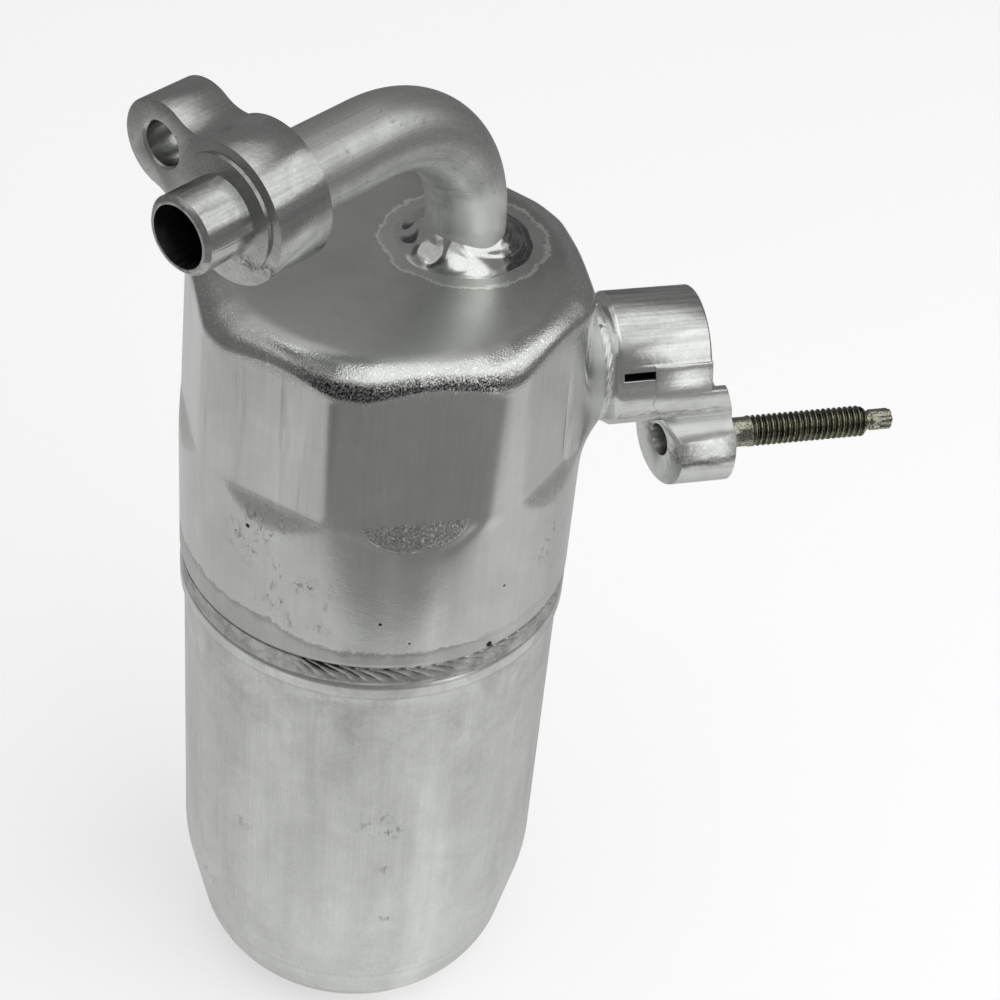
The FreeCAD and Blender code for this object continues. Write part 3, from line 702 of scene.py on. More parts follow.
def buildShell(s):
    outer = cupRows(s, 0.0, s["foot"], 80)
    inner = cupRows(s, s["wall"], s["innerFoot"], 16)
    holder = holderFor(finishMesh(ringMesh("upperShellSkin", list(reversed(outer)) + inner), 60))
    x, y, r = s["tubeHole"]
    cutters = [
        plug("inletHole", r, (x, y, s["top"] - 8 * mm), (x, y, s["top"] + 4 * mm)),
        plug("outletHole", s["outletHole"], (40 * mm, 0, s["padLevel"]), (56 * mm, 0, s["padLevel"])),
    ]
    for cutter in cutters:
        cut = holder.modifiers.new(cutter.name, "BOOLEAN")
        cut.object = cutter
        cut.operation = "DIFFERENCE"
        cut.solver = "EXACT"
    mesh = baked(holder)
    for cutter in cutters:
        bpy.data.objects.remove(cutter)
    markPressed(s, mesh)
    return shadeSmooth(mesh, 60)


def drawnShellFinish(s):
    sheet = FinishSheet("drawnShellMetal")
    x, y, z = sheet.x, sheet.y, sheet.z
    top = layout["top"]
    smear = sheet.cloud((95, 95, 13), 4, 0.6)
    line = sheet.cloud((1500, 1500, 35), 3, 0.6)
    patch = sheet.cloud(60, 5, 0.65, 0.6)
    grain = sheet.cloud(2400, 2, 0.7)
    peel = sheet.cells(sheet.place, 1900)
    onTop = sheet.remap(z, top - 0.5 * mm, top - 0.02 * mm)
    offTop = sheet.minus(1.0, onTop)

    # grainy half moon on the front ramp, with a pale line round it
    moonX = sheet.remap(x, s["moonMiddle"] - s["moonHalf"], s["moonMiddle"] + s["moonHalf"], -1.0, 1.0)
    moonZ = sheet.fall(z, s["moonFoot"], s["moonTop"])
    _, off = sheet.turnAndReach(moonX, moonZ)
    onFront = sheet.product(sheet.fall(y, *s["moonDepth"]),
                            sheet.fall(z, s["moonTop"] - 0.1 * mm, s["moonTop"] + 0.1 * mm))
    moon = sheet.product(onFront, sheet.fall(off, 0.96, 1.0))
    halo = sheet.product(sheet.between(off, 1.0, 1.06, 1.10, 1.24), onFront)

    # stretched metal on the rounded edge and the ramps
    pressed = sheet.larger(sheet.attribute("pressed"), moon)
    glint = sheet.remap(sheet.cloud(1300, 1, 0.5), 0.64, 0.70)
    sparkle = sheet.product(glint, sheet.total(sheet.product(pressed, 0.5), sheet.product(moon, 0.6), 0.06))
    # painted highlight: the crown of the front edge is painted lighter
    crownFrom, crownFull = s["crownHighlightDrop"]
    crown = sheet.product(pressed, sheet.remap(z, top - crownFrom, top - crownFull),
                          sheet.remap(y, *s["crownHighlightFront"]))
    rampFrom, rampFull = s["rampDrop"]
    onRamp = sheet.product(pressed, sheet.remap(z, top - rampFrom, top - rampFull), sheet.minus(1.0, moon))

    # matt ring left by the heat round the outlet
    _, fromOutlet = sheet.turnAndReach(y, sheet.minus(z, layout["outletLevel"]))
    heated = sheet.product(sheet.fall(fromOutlet, *s["heatedReach"], True), sheet.remap(x, *s["heatedSide"]))

    # faint brown runs down the left flats
    run = sheet.remap(sheet.cloud((330, 330, 16), 3, 0.65), 0.56, 0.70)
    upLeft = sheet.product(sheet.remap(x, *s["runLeft"]), sheet.between(z, *s["runHeights"]),
                           sheet.fall(y, -12 * mm, 0.0))

    # pale ragged ring left by the heat round the inlet
    rag = sheet.minus(sheet.cloud(260, 4, 0.7), 0.5)
    _, away = sheet.turnAndReach(sheet.minus(x, layout["inletX"]), sheet.minus(y, layout["inletY"]))
    away = sheet.total(away, sheet.product(rag, s["ringRagged"]))
    inRing = sheet.fall(away, s["ringRadius"] - 0.3 * mm, s["ringRadius"])
    edge = sheet.product(inRing, sheet.remap(away, s["ringRadius"] - 1.3 * mm, s["ringRadius"] - 0.8 * mm))
    ring = sheet.total(sheet.product(inRing, 0.07), sheet.product(edge, 0.27))

    # dull band with a ragged edge above the girth weld, widest at the left and faint on the right
    rise = sheet.total(
        sheet.minus(z, layout["seam"]),
        sheet.product(rag, s["scorchRagged"]),
        sheet.remap(x, -24 * mm, -34 * mm, 0.0, -3.5 * mm),
    )
    scorch = sheet.product(sheet.fall(rise, s["scorchReach"], s["scorchReach"] + 0.8 * mm),
                           sheet.remap(x, 10 * mm, 22 * mm, 1.0, 0.25))
    rim = sheet.product(scorch, sheet.remap(rise, s["scorchReach"] - 1.6 * mm, s["scorchReach"] - 0.3 * mm))

    tone = sheet.total(
        s["tone"],
        sheet.vary(smear, -0.035, 0.035),
        sheet.vary(patch, -0.04, 0.04),
        sheet.product(sheet.vary(line, -0.018, 0.018), offTop),
        sheet.product(crown, 0.09),
        sheet.product(heated, 0.20),
        sheet.product(onRamp, sheet.remap(x, 0.0, 20 * mm, 0.16, -0.05)),
        sheet.product(pressed, sheet.remap(grain, 0.35, 0.65, -0.09, 0.05)),
        # painted shade: a dark mottled band along the foot of the front edge, standing in for a dark
        # reflection
        sheet.product(sheet.attribute("paintedDarkBand"), sheet.remap(grain, 0.40, 0.60, -0.60, -0.14)),
        sheet.product(sparkle, 0.42),
        sheet.product(moon, sheet.remap(sheet.cloud(1700, 2, 0.7), 0.40, 0.60, -0.22, 0.06)),
        sheet.product(halo, 0.07),
        # painted light: the top is painted lighter towards the front and darker towards the right
        sheet.product(onTop, sheet.remap(y, -6 * mm, -36 * mm, 0.0, 0.20)),
        sheet.product(onTop, sheet.vary(grain, -0.06, 0.06)),
        sheet.product(onTop, sheet.remap(x, 5 * mm, 22 * mm, 0.0, -0.20)),
        sheet.product(run, upLeft, -0.15),
        sheet.product(ring, sheet.remap(z, top - 3 * mm, top - 2 * mm)),
        sheet.product(scorch, -0.10),
        sheet.product(rim, -0.12),
    )

    fleck = sheet.remap(sheet.cloud((520, 520, 300), 5, 0.8), 0.53, 0.60)
    blur = sheet.product(fleck, sheet.remap(sheet.cloud(150, 2, 0.5), 0.40, 0.55))
    dirt = sheet.larger(sheet.marks(s["pits"], 0.7, 1.3), sheet.marks(s["smudges"], 0.2, 1.8, blur))
    rough = sheet.total(
        s["roughness"],
        sheet.vary(smear, 0.03, -0.02),
        sheet.product(scorch, 0.12),
        sheet.product(dirt, 0.3),
        sheet.product(onTop, 0.15),
        sheet.product(pressed, 0.08),
        sheet.product(onRamp, 0.22),
        sheet.product(heated, 0.33),
        sheet.product(crown, -0.05),
    )
    scratches = sheet.remap(sheet.cloud((900, 60, 900), 2, 0.5, turn=(0, 0, 0.6)), 0.62, 0.70)
    relief = sheet.relief(
        (sheet.product(line, offTop), 0.002),
        (patch, 0.03),
        (scratches, -0.003),
        (sheet.product(pressed, sheet.total(peel, grain)), 0.032),
        (grain, 0.005),
    )
    return sheet.finish(sheet.mix(dirt, sheet.bareMetal(tone, 0.02), (0.03, 0.028, 0.022)), rough, relief)


shellMetal = drawnShellFinish(shellMarks)
addPiece("upperShellSkin", buildShell(shellSizes), shellMetal, "shell_aluminium", "upper_shell")


# Girth weld with its slanting ripples

girthSizes = {
    "shellEdge": 49.22 * mm,
    "rimEdge": 49.16 * mm,
    "foot": 49.05 * mm,
    "top": layout["seam"],
    "rootRadius": 46.7 * mm,
    "sag": 0.25 * mm,
    "undercut": 0.55 * mm,
    "steps": 1320,
    "across": 18,
}

girthRipples = {
    "Ripple count": 78,
    "Lean": -1.2,
    "Curl": 0.5,
    "Depth": 0.30 * mm,
    "Bead middle": 52.1 * mm,
    "Bead half height": 3.1 * mm,
    "Wander": 0.9,
    "Smooth middle": -2.52,
    "Smooth half": 0.30,
    "Burn middle": -2.02,
    "Burn half": 0.17,
    "Burn depth": 0.35 * mm,
    "Seed": 4.0,
}


def weldBeadFinish(name, tone, roughness, soot, unevenness=0.2, mottle=1.0):
    # weld metal, bright on the ripples and sooty in the hollows between them
    sheet = FinishSheet(name)
    patch = sheet.cloud(240, 4, 0.65)
    grain = sheet.cloud(1600, 2, 0.6)
    share = sheet.total(
        tone,
        sheet.remap(sheet.attribute("crest"), 0.1, 0.6, -soot, 0.0),
        sheet.remap(patch, 0.35, 0.65, -0.14 * mottle, 0.08 * mottle),
        sheet.vary(grain, -0.05, 0.05),
    )
    rough = sheet.remap(patch, 0.35, 0.65, roughness + 0.10 * mottle, roughness)
    relief = sheet.relief((grain, 0.03 * mottle), (patch, unevenness))
    return sheet.finish(sheet.bareMetal(share, 0.03), rough, relief)


def girthForm(s):
    profile = [(s["rootRadius"], s["top"] - 2.3 * mm), (s["shellEdge"] - 0.4 * mm, s["top"])]
    for k in range(s["across"] + 1):
        share = k / s["across"]
        z = s["top"] - share * (s["top"] - s["foot"])
        r = s["shellEdge"] + share * (s["rimEdge"] - s["shellEdge"]) - s["sag"] * math.sin(math.pi * share)
        r -= s["undercut"] * math.exp(-(((share - 0.04) / 0.05) ** 2))
        r -= 0.4 * s["undercut"] * math.exp(-(((share - 0.97) / 0.04) ** 2))
        profile.append((r, z))
    profile.append((s["rootRadius"], s["foot"] + 2.3 * mm))
    return ringMesh("girthWeldBead", turnedRows(profile, s["steps"]), looped=True)


def girthTree():
    sheet = RuleSheet("girthWeldRipples", girthRipples)
    given = sheet.given
    x, y, z = sheet.split(sheet.place)
    angle, reach = sheet.turnAndReach(x, y)
    across = sheet.over(sheet.minus(z, given["Bead middle"]), given["Bead half height"])
    phase = sheet.total(
        sheet.product(angle, given["Ripple count"], 1 / tau),
        sheet.product(across, given["Lean"], -1.0),
        sheet.product(across, across, given["Curl"]),
        sheet.product(sheet.wander(110.0), given["Wander"]),
    )
    height = sheet.ripple(phase, 0.22)
    # the ripples lie in the upper part of the bead, the lower part flows out smooth
    fade = sheet.between(across, -0.55, 0.05, 0.8, 1.0, True)
    offSmooth = sheet.gap(angle, given["Smooth middle"])
    strength = sheet.product(
        sheet.remap(sheet.waver(60.0), 0.3, 0.7, 0.45, 1.15),
        sheet.remap(offSmooth, given["Smooth half"], sheet.total(given["Smooth half"], 0.12), 0.06, 1.0),
        sheet.remap(angle, -1.85, -1.2, 1.0, 0.55),
    )
    offBurn = sheet.gap(angle, given["Burn middle"])
    burn = sheet.product(sheet.fall(offBurn, 0.0, given["Burn half"], True), sheet.remap(across, 0.1, 0.75))
    outside = sheet.remap(reach, 48.0 * mm, 48.4 * mm)
    push = sheet.product(sheet.minus(height, 0.7), given["Depth"], fade, strength)
    push = sheet.product(sheet.minus(push, sheet.product(burn, given["Burn depth"])), outside)
    hollow = sheet.product(sheet.minus(1.0, height), fade, strength)
    sooty = sheet.total(hollow, sheet.product(burn, sheet.remap(height, 0.1, 0.8, 1.1, 0.35)))
    return sheet.close(sheet.along(*sheet.outwards(push, reach, x, y)), sheet.minus(1.0, sooty))


girthMetal = weldBeadFinish("girthWeldMetal", 0.49, 0.30, 0.52, 0.06)
bead = ruledMesh(girthForm(girthSizes), girthTree(), girthRipples, girthMetal)
addPiece("girthWeldBead", bead, girthMetal, "weld_aluminium", "girth_weld")


# Inlet tube

tubeSizes = {
    "foot": (layout["inletX"], layout["inletY"], 133.45 * mm),
    "bendStart": 146.5 * mm,
    "bendRadius": 35.3 * mm,
    "heading": math.radians(layout["inletHeading"]),
    "run": 35.45 * mm,
    "radius": 9.52 * mm,
    "innerRadius": 7.875 * mm,
    "flattening": 0.035,
    "creases": (0.19, 0.36),
    "creaseWidth": 0.014,
    "creaseDepth": 0.34 * mm,
    "steps": 96,
}

# lengths along the tube in mm, as its UV map has them
tubeMarks = {
    "tone": 0.58,
    "roughness": 0.40,
    # painted highlight: the tube is lighter from partway up the bend down to its foot
    "paintedFootHighlight": (30.0, 16.0),
    "innerSide": (16.0, 22.0, 50.0, 60.0),
    "brazeDirt": (92.0, 95.6),
    "heatedEnd": (14.2, 14.7),
    # painted highlight: a soft bright patch low on the bend, with its inner and outer reach
    "paintedHighlight": (19.7 * mm, -5.5 * mm, 152 * mm),
    "paintedHighlightReach": (2 * mm, 12 * mm),
}


def tubeStations(s):
    # centre, direction, share of the bend and length so far, along the bent axis
    out = Vector((-math.cos(s["heading"]), -math.sin(s["heading"]), 0))
    up = Vector((0, 0, 1))
    foot = Vector(s["foot"])
    rise = s["bendStart"] - foot.z
    stations = [(foot + up * rise * k / 6, up, 0.0, rise * k / 6) for k in range(7)]
    centre = Vector((foot.x, foot.y, s["bendStart"])) + out * s["bendRadius"]
    for k in range(1, 65):
        turn = math.pi / 2 * k / 64
        spot = centre - out * s["bendRadius"] * math.cos(turn) + up * s["bendRadius"] * math.sin(turn)
        ahead = up * math.cos(turn) + out * math.sin(turn)
        stations.append((spot, ahead, k / 64, rise + s["bendRadius"] * turn))
    end, _, _, length = stations[-1]
    for k in range(1, 17):
        stations.append((end + out * s["run"] * k / 16, out, 1.0, length + s["run"] * k / 16))
    return stations


def tubeRow(s, station, radius):
    # ring that the bend flattens, with the creases of the bending tool on its inner side
    centre, ahead, bend, _ = station
    side = Vector((math.sin(s["heading"]), -math.cos(s["heading"]), 0))
    outward = ahead.cross(side)
    squash = s["flattening"] * math.sin(math.pi * bend)
    paintedDarkBand = sum(math.exp(-(((bend - place) / s["creaseWidth"]) ** 2)) for place in s["creases"])
    row = []
    for i in range(s["steps"]):
        phi = tau * i / s["steps"]
        r = radius - paintedDarkBand * s["creaseDepth"] * max(0.0, -math.cos(phi)) ** 3
        tall, wide = r * math.cos(phi) * (1 - squash), r * math.sin(phi) * (1 + 0.4 * squash)
        row.append(centre + outward * tall + side * wide)
    return row


def buildTube(s):
    outer = tubeStations(s)
    inner = outer[::3][::-1]
    rows = [tubeRow(s, station, s["radius"]) for station in outer]
    rows += [tubeRow(s, station, s["innerRadius"]) for station in inner]
    lengths = [station[3] / mm for station in outer + inner]
    mesh = ringMesh("inletTubeWall", rows, looped=True)
    steps = s["steps"]
    layer = mesh.uv_layers.new(name="lengthAndTurn")
    for polygon in mesh.polygons:
        column = polygon.index % steps
        for loop in polygon.loop_indices:
            row, place = divmod(mesh.loops[loop].vertex_index, steps)
            layer.data[loop].uv = (lengths[row], (place if place >= column else steps) / steps)
    return finishMesh(mesh)


def satinTubeFinish(s):
    sheet = FinishSheet("satinTubeMetal")
    unrolled = sheet.add("ShaderNodeUVMap", uv_map="lengthAndTurn").outputs[0]
    along, turn, _ = sheet.split(unrolled)
    line = sheet.cloud((0.03, 160, 1), 3, 0.6, place=unrolled)
    scuff = sheet.cloud((0.5, 30, 1), 3, 0.6, turn=(0, 0, 0.5), place=unrolled)
    patch = sheet.cloud(130, 5, 0.65, 0.5)
    grain = sheet.cloud(1500, 2, 0.6)
    # the inner side of the bend was worn matt by the bending tool; its lighter tone is painted light,
    # against the dark reflection it would catch
    facing = sheet.fall(sheet.gap(turn, 0.5), 0.10, 0.22, True)
    inner = sheet.product(facing, sheet.between(along, *s["innerSide"]))
    # matt band where the weld heated the foot
    heated = sheet.fall(sheet.total(along, sheet.vary(patch, -1.2, 1.2)), *s["heatedEnd"])
    rub = sheet.remap(scuff, 0.60, 0.70)
    tone = sheet.total(
        s["tone"],
        sheet.vary(line, -0.07, 0.07),
        sheet.vary(patch, -0.06, 0.05),
        sheet.vary(grain, -0.03, 0.03),
        # painted highlight: lighter from partway up the bend down to the foot
        sheet.remap(along, *s["paintedFootHighlight"], 0.0, 0.26),
        sheet.product(rub, -0.13),
        sheet.product(inner, 0.10),
        sheet.product(sheet.remap(scuff, 0.34, 0.28), 0.12),
        sheet.product(sheet.remap(along, *s["brazeDirt"]), sheet.remap(patch, 0.3, 0.6, -0.5, -0.1)),
        # painted highlight: a soft bright patch low on the bend
        sheet.product(sheet.near(s["paintedHighlight"], *s["paintedHighlightReach"]), 0.38),
    )
    rough = sheet.total(
        s["roughness"],
        sheet.vary(patch, 0.07, -0.05),
        sheet.product(rub, 0.1),
        sheet.product(heated, 0.15),
        sheet.product(inner, 0.12),
    )
    relief = sheet.relief((line, 0.006), (patch, 0.08), (grain, 0.010))
    return sheet.finish(sheet.bareMetal(tone), rough, relief)


tubeMetal = satinTubeFinish(tubeMarks)
addPiece("inletTubeWall", buildTube(tubeSizes), tubeMetal, "tube_aluminium", "inlet_tube")


# Inlet weld, a hollow fillet laid in small arcs round the foot of the tube

inletWeldSizes = {
    "axis": (layout["inletX"], layout["inletY"]),
    "level": layout["top"],
    "tubeRadius": 9.5 * mm,
    "toe": 16.3 * mm,
    "toeRagged": 0.7 * mm,
    "height": 4.4 * mm,
    "heightLean": 1.0 * mm,
    "heightDip": 1.3 * mm,
    "hollow": 1.4,
    "steps": 288,
    "across": 22,
}

inletRipples = {
    "Ripple count": 11,
    "Curl": 1.4,
    "Depth": 0.07 * mm,
    "Axis x": layout["inletX"],
    "Axis y": layout["inletY"],
    "Level": layout["top"],
    "Inner radius": 9.5 * mm,
    "Outer radius": 16.6 * mm,
    "Crater x": 8.6 * mm,
    "Crater y": -2.9 * mm,
    "Crater radius": 2.9 * mm,
    "Crater depth": 0.18 * mm,
    "Crater rim": 0.06 * mm,
    "Lumps": 0.25 * mm,
    "Dark end": 23.6 * mm,
    "Seed": 2.0,
}


def inletWeldForm(s):
    cx, cy = s["axis"]
    rows = []
    for k in range(s["across"] + 1):
        share = k / s["across"]
        row = []
        for i in range(s["steps"]):
            angle = tau * i / s["steps"]
            rag = noise.noise(Vector((math.cos(angle) * 2.5, math.sin(angle) * 2.5, 1.7)))
            # higher on the left, lowest at the front right
            lean = s["heightLean"] * math.cos(angle + math.radians(155))
            turned = math.remainder(angle + math.radians(70), tau)
            dip = s["heightDip"] * math.exp(-((turned / 0.5) ** 2))
            toe = s["toe"] + s["toeRagged"] * rag
            r = s["tubeRadius"] + (toe - s["tubeRadius"]) * share
            z = s["level"] + (s["height"] + lean - dip) * (1 - share) ** s["hollow"]
            row.append((cx + r * math.cos(angle), cy + r * math.sin(angle), z))
        rows.append(row)
    rows.append([(cx + (x - cx) * 0.7, cy + (y - cy) * 0.7, s["level"]) for x, y, z in rows[-1]])
    return ringMesh("inletWeldFillet", rows, looped=True)


def inletTree():
    sheet = RuleSheet("inletWeldRipples", inletRipples)
    given = sheet.given
    x, y, z = sheet.split(sheet.place)
    angle, reach = sheet.turnAndReach(sheet.minus(x, given["Axis x"]), sheet.minus(y, given["Axis y"]))
    span = sheet.minus(given["Outer radius"], given["Inner radius"])
    across = sheet.over(sheet.minus(reach, given["Inner radius"]), span)
    centred = sheet.minus(across, 0.5)
    phase = sheet.total(
        sheet.product(angle, given["Ripple count"], 1 / tau),
        sheet.product(centred, centred, given["Curl"], 4.0),
        sheet.product(sheet.waver(90.0), 1.8),
    )
    height = sheet.ripple(phase, 0.25)
    inside = sheet.remap(across, 0.02, 0.25, soft=True)
    fade = sheet.product(inside, sheet.fall(across, 0.6, 0.95, True))
    lump = sheet.product(sheet.wander(70.0), given["Lumps"], fade)

    # crater where the arc ended, with a low rim
    cx, cy = sheet.minus(x, given["Crater x"]), sheet.minus(y, given["Crater y"])
    _, away = sheet.turnAndReach(cx, cy)
    off = sheet.total(sheet.over(away, given["Crater radius"]), sheet.product(sheet.wander(230.0, 2.0), 0.9))
    bowl = sheet.product(sheet.fall(off, 0.3, 1.0, True), given["Crater depth"], -1.0)
    rim = sheet.product(sheet.between(off, 0.7, 1.1, 1.1, 1.6, True), given["Crater rim"])
    crater = sheet.product(sheet.total(bowl, rim), inside)
    push = sheet.total(sheet.product(height, given["Depth"], fade), lump, crater)
    push = sheet.product(push, sheet.remap(sheet.minus(z, given["Level"]), 0.01 * mm, 0.45 * mm))

    # sooty serrations where the pool ends at the left, and a dark right end laid in fine arcs
    atEnd = sheet.remap(x, given["Crater x"], sheet.minus(given["Crater x"], 3 * mm))
    arcPlace = sheet.along(reach, sheet.product(angle, 1.5 * mm))
    arcs = sheet.remap(sheet.waver(1500.0, vector=arcPlace), 0.35, 0.65, 0.75, 1.1)
    intoEnd = sheet.remap(x, given["Dark end"], sheet.total(given["Dark end"], 2.4 * mm), soft=True)
    atRight = sheet.product(intoEnd, sheet.remap(across, 0.0, 0.95, 0.85, 1.0), arcs)
    # the dark ring round the crater is open towards the bright pool
    leftOf = sheet.remap(sheet.total(cx, sheet.product(cy, 0.8)), 1.2 * mm, -0.6 * mm)
    darkRing = sheet.product(sheet.between(off, 0.80, 1.10, 1.3, 2.1, True), leftOf, 0.8)
    onCrater = sheet.remap(off, 0.85, 1.0, 0.45, 0.0)
    hollow = sheet.product(sheet.minus(1.0, height), fade, sheet.total(atEnd, 0.15))
    sooty = sheet.larger(hollow, atRight, darkRing, onCrater)
    return sheet.close(sheet.along(z=push), sheet.minus(1.0, sooty))


inletWeldMetal = weldBeadFinish("inletWeldMetal", 0.76, 0.12, 0.58, 0.01, 0.25)
fillet = ruledMesh(inletWeldForm(inletWeldSizes), inletTree(), inletRipples, inletWeldMetal)
addPiece("inletWeldFillet", fillet, inletWeldMetal, "weld_aluminium", "inlet_tube_weld")


# Outlet weld, with open pores along its neck

outletWeldSizes = {
    "level": layout["outletLevel"],
    "start": 50.45 * mm,
    "end": 52.95 * mm,
    "radius": 15.0 * mm,
    "crown": 0.3 * mm,
    "rootRadius": 13.0 * mm,
    "steps": 360,
    "across": 12,
}

outletRipples = {
    "Ripple count": 30,
    "Depth": 0.10 * mm,
    "Lean": 900.0,
    "Level": layout["outletLevel"],
    "Root": 13.6 * mm,
    "Middle": 51.7 * mm,
    "Pore size": 420.0,
    "Pore depth": 0.9 * mm,
    "Seed": 7.0,
}


def outletWeldForm(s):
    profile = [(s["rootRadius"], s["start"])]
    for k in range(s["across"] + 1):
        share = k / s["across"]
        station = s["start"] + share * (s["end"] - s["start"])
        profile.append((s["radius"] + s["crown"] * math.sin(math.pi * share), station))
    profile.append((s["rootRadius"], s["end"]))
    return ringMesh("outletWeldRing", turnedRows(profile, s["steps"], "x", (0, 0, s["level"])), looped=True)


def outletTree():
    sheet = RuleSheet("outletWeldRipples", outletRipples)
    given = sheet.given
    x, y, z = sheet.split(sheet.place)
    up = sheet.minus(z, given["Level"])
    angle, reach = sheet.turnAndReach(y, up)
    phase = sheet.total(
        sheet.product(angle, given["Ripple count"], 1 / tau),
        sheet.product(sheet.minus(x, given["Middle"]), given["Lean"]),
        sheet.waver(150.0),
    )
    height = sheet.ripple(phase, 0.3)
    pore = sheet.remap(sheet.waver(given["Pore size"]), 0.66, 0.74, soft=True)
    outside = sheet.remap(reach, given["Root"], sheet.total(given["Root"], 0.8 * mm))
    push = sheet.product(sheet.minus(height, 0.6), given["Depth"])
    push = sheet.product(sheet.minus(push, sheet.product(pore, given["Pore depth"])), outside)
    sooty = sheet.total(sheet.product(sheet.minus(1.0, height), 0.5), pore)
    return sheet.close(sheet.along(0.0, *sheet.outwards(push, reach, y, up)), sheet.minus(1.0, sooty))


outletWeldMetal = weldBeadFinish("outletWeldMetal", 0.76, 0.30, 0.28, 0.1)
ring = ruledMesh(outletWeldForm(outletWeldSizes), outletTree(), outletRipples, outletWeldMetal)
addPiece("outletWeldRing", ring, outletWeldMetal, "weld_aluminium", "outlet_weld")


# Fitting blocks, cut from extruded bar and turned on their round ends

blockEdges = {
    "width": 0.35 * mm,
    "segments": 3,
    "sharpAngle": 30,
    "flatAngle": 0.6,
    "merge": 0.004 * mm,
}

# turned: where the turning rings lie along the bar; dirt and the painted ear highlight: height and inner and
# outer reach
inletBlockMarks = {
    "turn": -math.radians(180 + layout["inletHeading"]),
    "tone": 0.55,
    "turned": (94.8 * mm, 112.0 * mm),
    "streaksAndShadeAbove": 199 * mm,
    "dirt": [(174 * mm, 0.6 * mm, 2.2 * mm)],
}

outletBlockMarks = {
    "turn": 0.0,
    # painted light: the outlet bar is lighter than the inlet bar of the same stock, standing in for the
    # brighter light on it
    "tone": 0.72,
    "turned": (52.8 * mm, 55.4 * mm),
    "streaksAndShadeAbove": 116.6 * mm,
    "dirt": [(98.5 * mm, 0.6 * mm, 2.2 * mm), (78.5 * mm, 0.8 * mm, 3.0 * mm)],
    # painted highlight on the upper side of the ear
    "paintedEarHighlight": (87.5 * mm, 2 * mm, 5 * mm),
    "slotAlong": (55.3 * mm, 64.0 * mm),
    "slotHeights": (109.5 * mm, 111.7 * mm),
    "slotHalf": 15.75 * mm,
}


def brokenEdges(node, s):
    # merged copy of a modelled node with its sharp edges broken
    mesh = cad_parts[node].data.copy()
    work = bmesh.new()
    work.from_mesh(mesh)
    bmesh.ops.remove_doubles(work, verts=work.verts, dist=s["merge"])
    flat = math.radians(s["flatAngle"])
    bmesh.ops.dissolve_limit(work, angle_limit=flat, verts=work.verts, edges=work.edges)
    work.to_mesh(mesh)
    work.free()
    holder = holderFor(mesh)
    bevel = holder.modifiers.new("edgeBreak", "BEVEL")
    bevel.width = s["width"]
    bevel.segments = s["segments"]
    bevel.limit_method = "ANGLE"
    bevel.angle_limit = math.radians(s["sharpAngle"])
    return shadeSmooth(baked(holder), 35)


def barStockFinish(name, s):
    # die lines along the bar, turning rings on its round end
    sheet = FinishSheet(name)
    bar = sheet.stretched((1, 1, 1), (0, 0, s["turn"]))
    along, aside, up = sheet.split(bar)
    line = sheet.cloud((18, 1300, 1300), 4, 0.65, place=bar)
    score = sheet.cloud((25, 420, 420), 3, 0.6, place=bar)
    rings = sheet.cloud((2600, 40, 40), 2, 0.6, place=bar)
    patch = sheet.cloud(150, 5, 0.65, 0.6)
    grain = sheet.cloud(1500, 2, 0.65)
    nick = sheet.fall(sheet.cells(sheet.stretched((260, 420, 420), place=bar), 1), 0.05, 0.09)
    gouge = sheet.remap(score, 0.62, 0.72)
    start, end = s["turned"]
    onRound = sheet.between(along, start, start + 0.2 * mm, end - 0.2 * mm, end)
    onBar = sheet.minus(1.0, onRound)
    # smeared dirt along the foot of the bar and on its ear
    smear = sheet.remap(sheet.cloud((260, 700, 700), 4, 0.7, turn=(0, 0.5, 0), place=bar), 0.42, 0.58)
    bands = [sheet.fall(sheet.gap(up, level), inner, outer) for level, inner, outer in s["dirt"]]
    grimy = sheet.product(sheet.larger(*bands), smear)
    share = sheet.total(
        s["tone"],
        sheet.vary(patch, -0.06, 0.06),
        sheet.vary(grain, -0.04, 0.04),
        sheet.product(onBar, sheet.vary(line, -0.05, 0.05)),
        sheet.product(onRound, sheet.vary(rings, -0.07, 0.10)),
        sheet.product(onBar, gouge, -0.12),
        sheet.product(onBar, nick, -0.12),
        sheet.product(onBar, grimy, -0.34),
        # the top of the bar is darker in streaks: the streaks are real marks, the darkening is painted shade
        sheet.product(onBar, sheet.remap(up, s["streaksAndShadeAbove"], s["streaksAndShadeAbove"] + 3 * mm),
                      sheet.remap(score, 0.42, 0.62, -0.04, -0.26)),
    )
    # painted highlight: a light band on the upper side of the ear
    if "paintedEarHighlight" in s:
        level, inner, outer = s["paintedEarHighlight"]
        bright = sheet.fall(sheet.gap(up, level), inner, outer)
        share = sheet.total(share, sheet.product(onBar, bright, 0.2))
    if "slotAlong" in s:
        # the cutter's slot in each side of the barrel lies in its own shade
        near, far = s["slotAlong"]
        low, high = s["slotHeights"]
        shade = sheet.product(
            sheet.between(along, near, near + 0.1 * mm, far - 0.1 * mm, far),
            sheet.between(up, low, low + 0.2 * mm, high - 0.1 * mm, high),
            sheet.fall(sheet.maths("ABSOLUTE", aside), s["slotHalf"] - 0.3 * mm, s["slotHalf"]),
        )
        share = sheet.total(share, sheet.product(shade, -0.6))
    relief = sheet.relief(
        (sheet.product(onBar, line), 0.012),
        (sheet.product(onBar, gouge), -0.03),
        (sheet.product(onRound, rings), 0.012),
        (patch, 0.07),
        (grain, 0.010),
    )
    rough = sheet.total(sheet.vary(patch, 0.27, 0.17), sheet.product(onRound, -0.07))
    return sheet.finish(sheet.bareMetal(share, 0.03), rough, relief)


for side, marks in (("inlet", inletBlockMarks), ("outlet", outletBlockMarks)):
    node = side + "_block"
    metal = barStockFinish(side + "BarMetal", marks)
    addPiece(side + "BlockBody", brokenEdges(node, blockEdges), metal, "block_aluminium", node)


# Clamp stud with its thread, thin neck and lobed tip

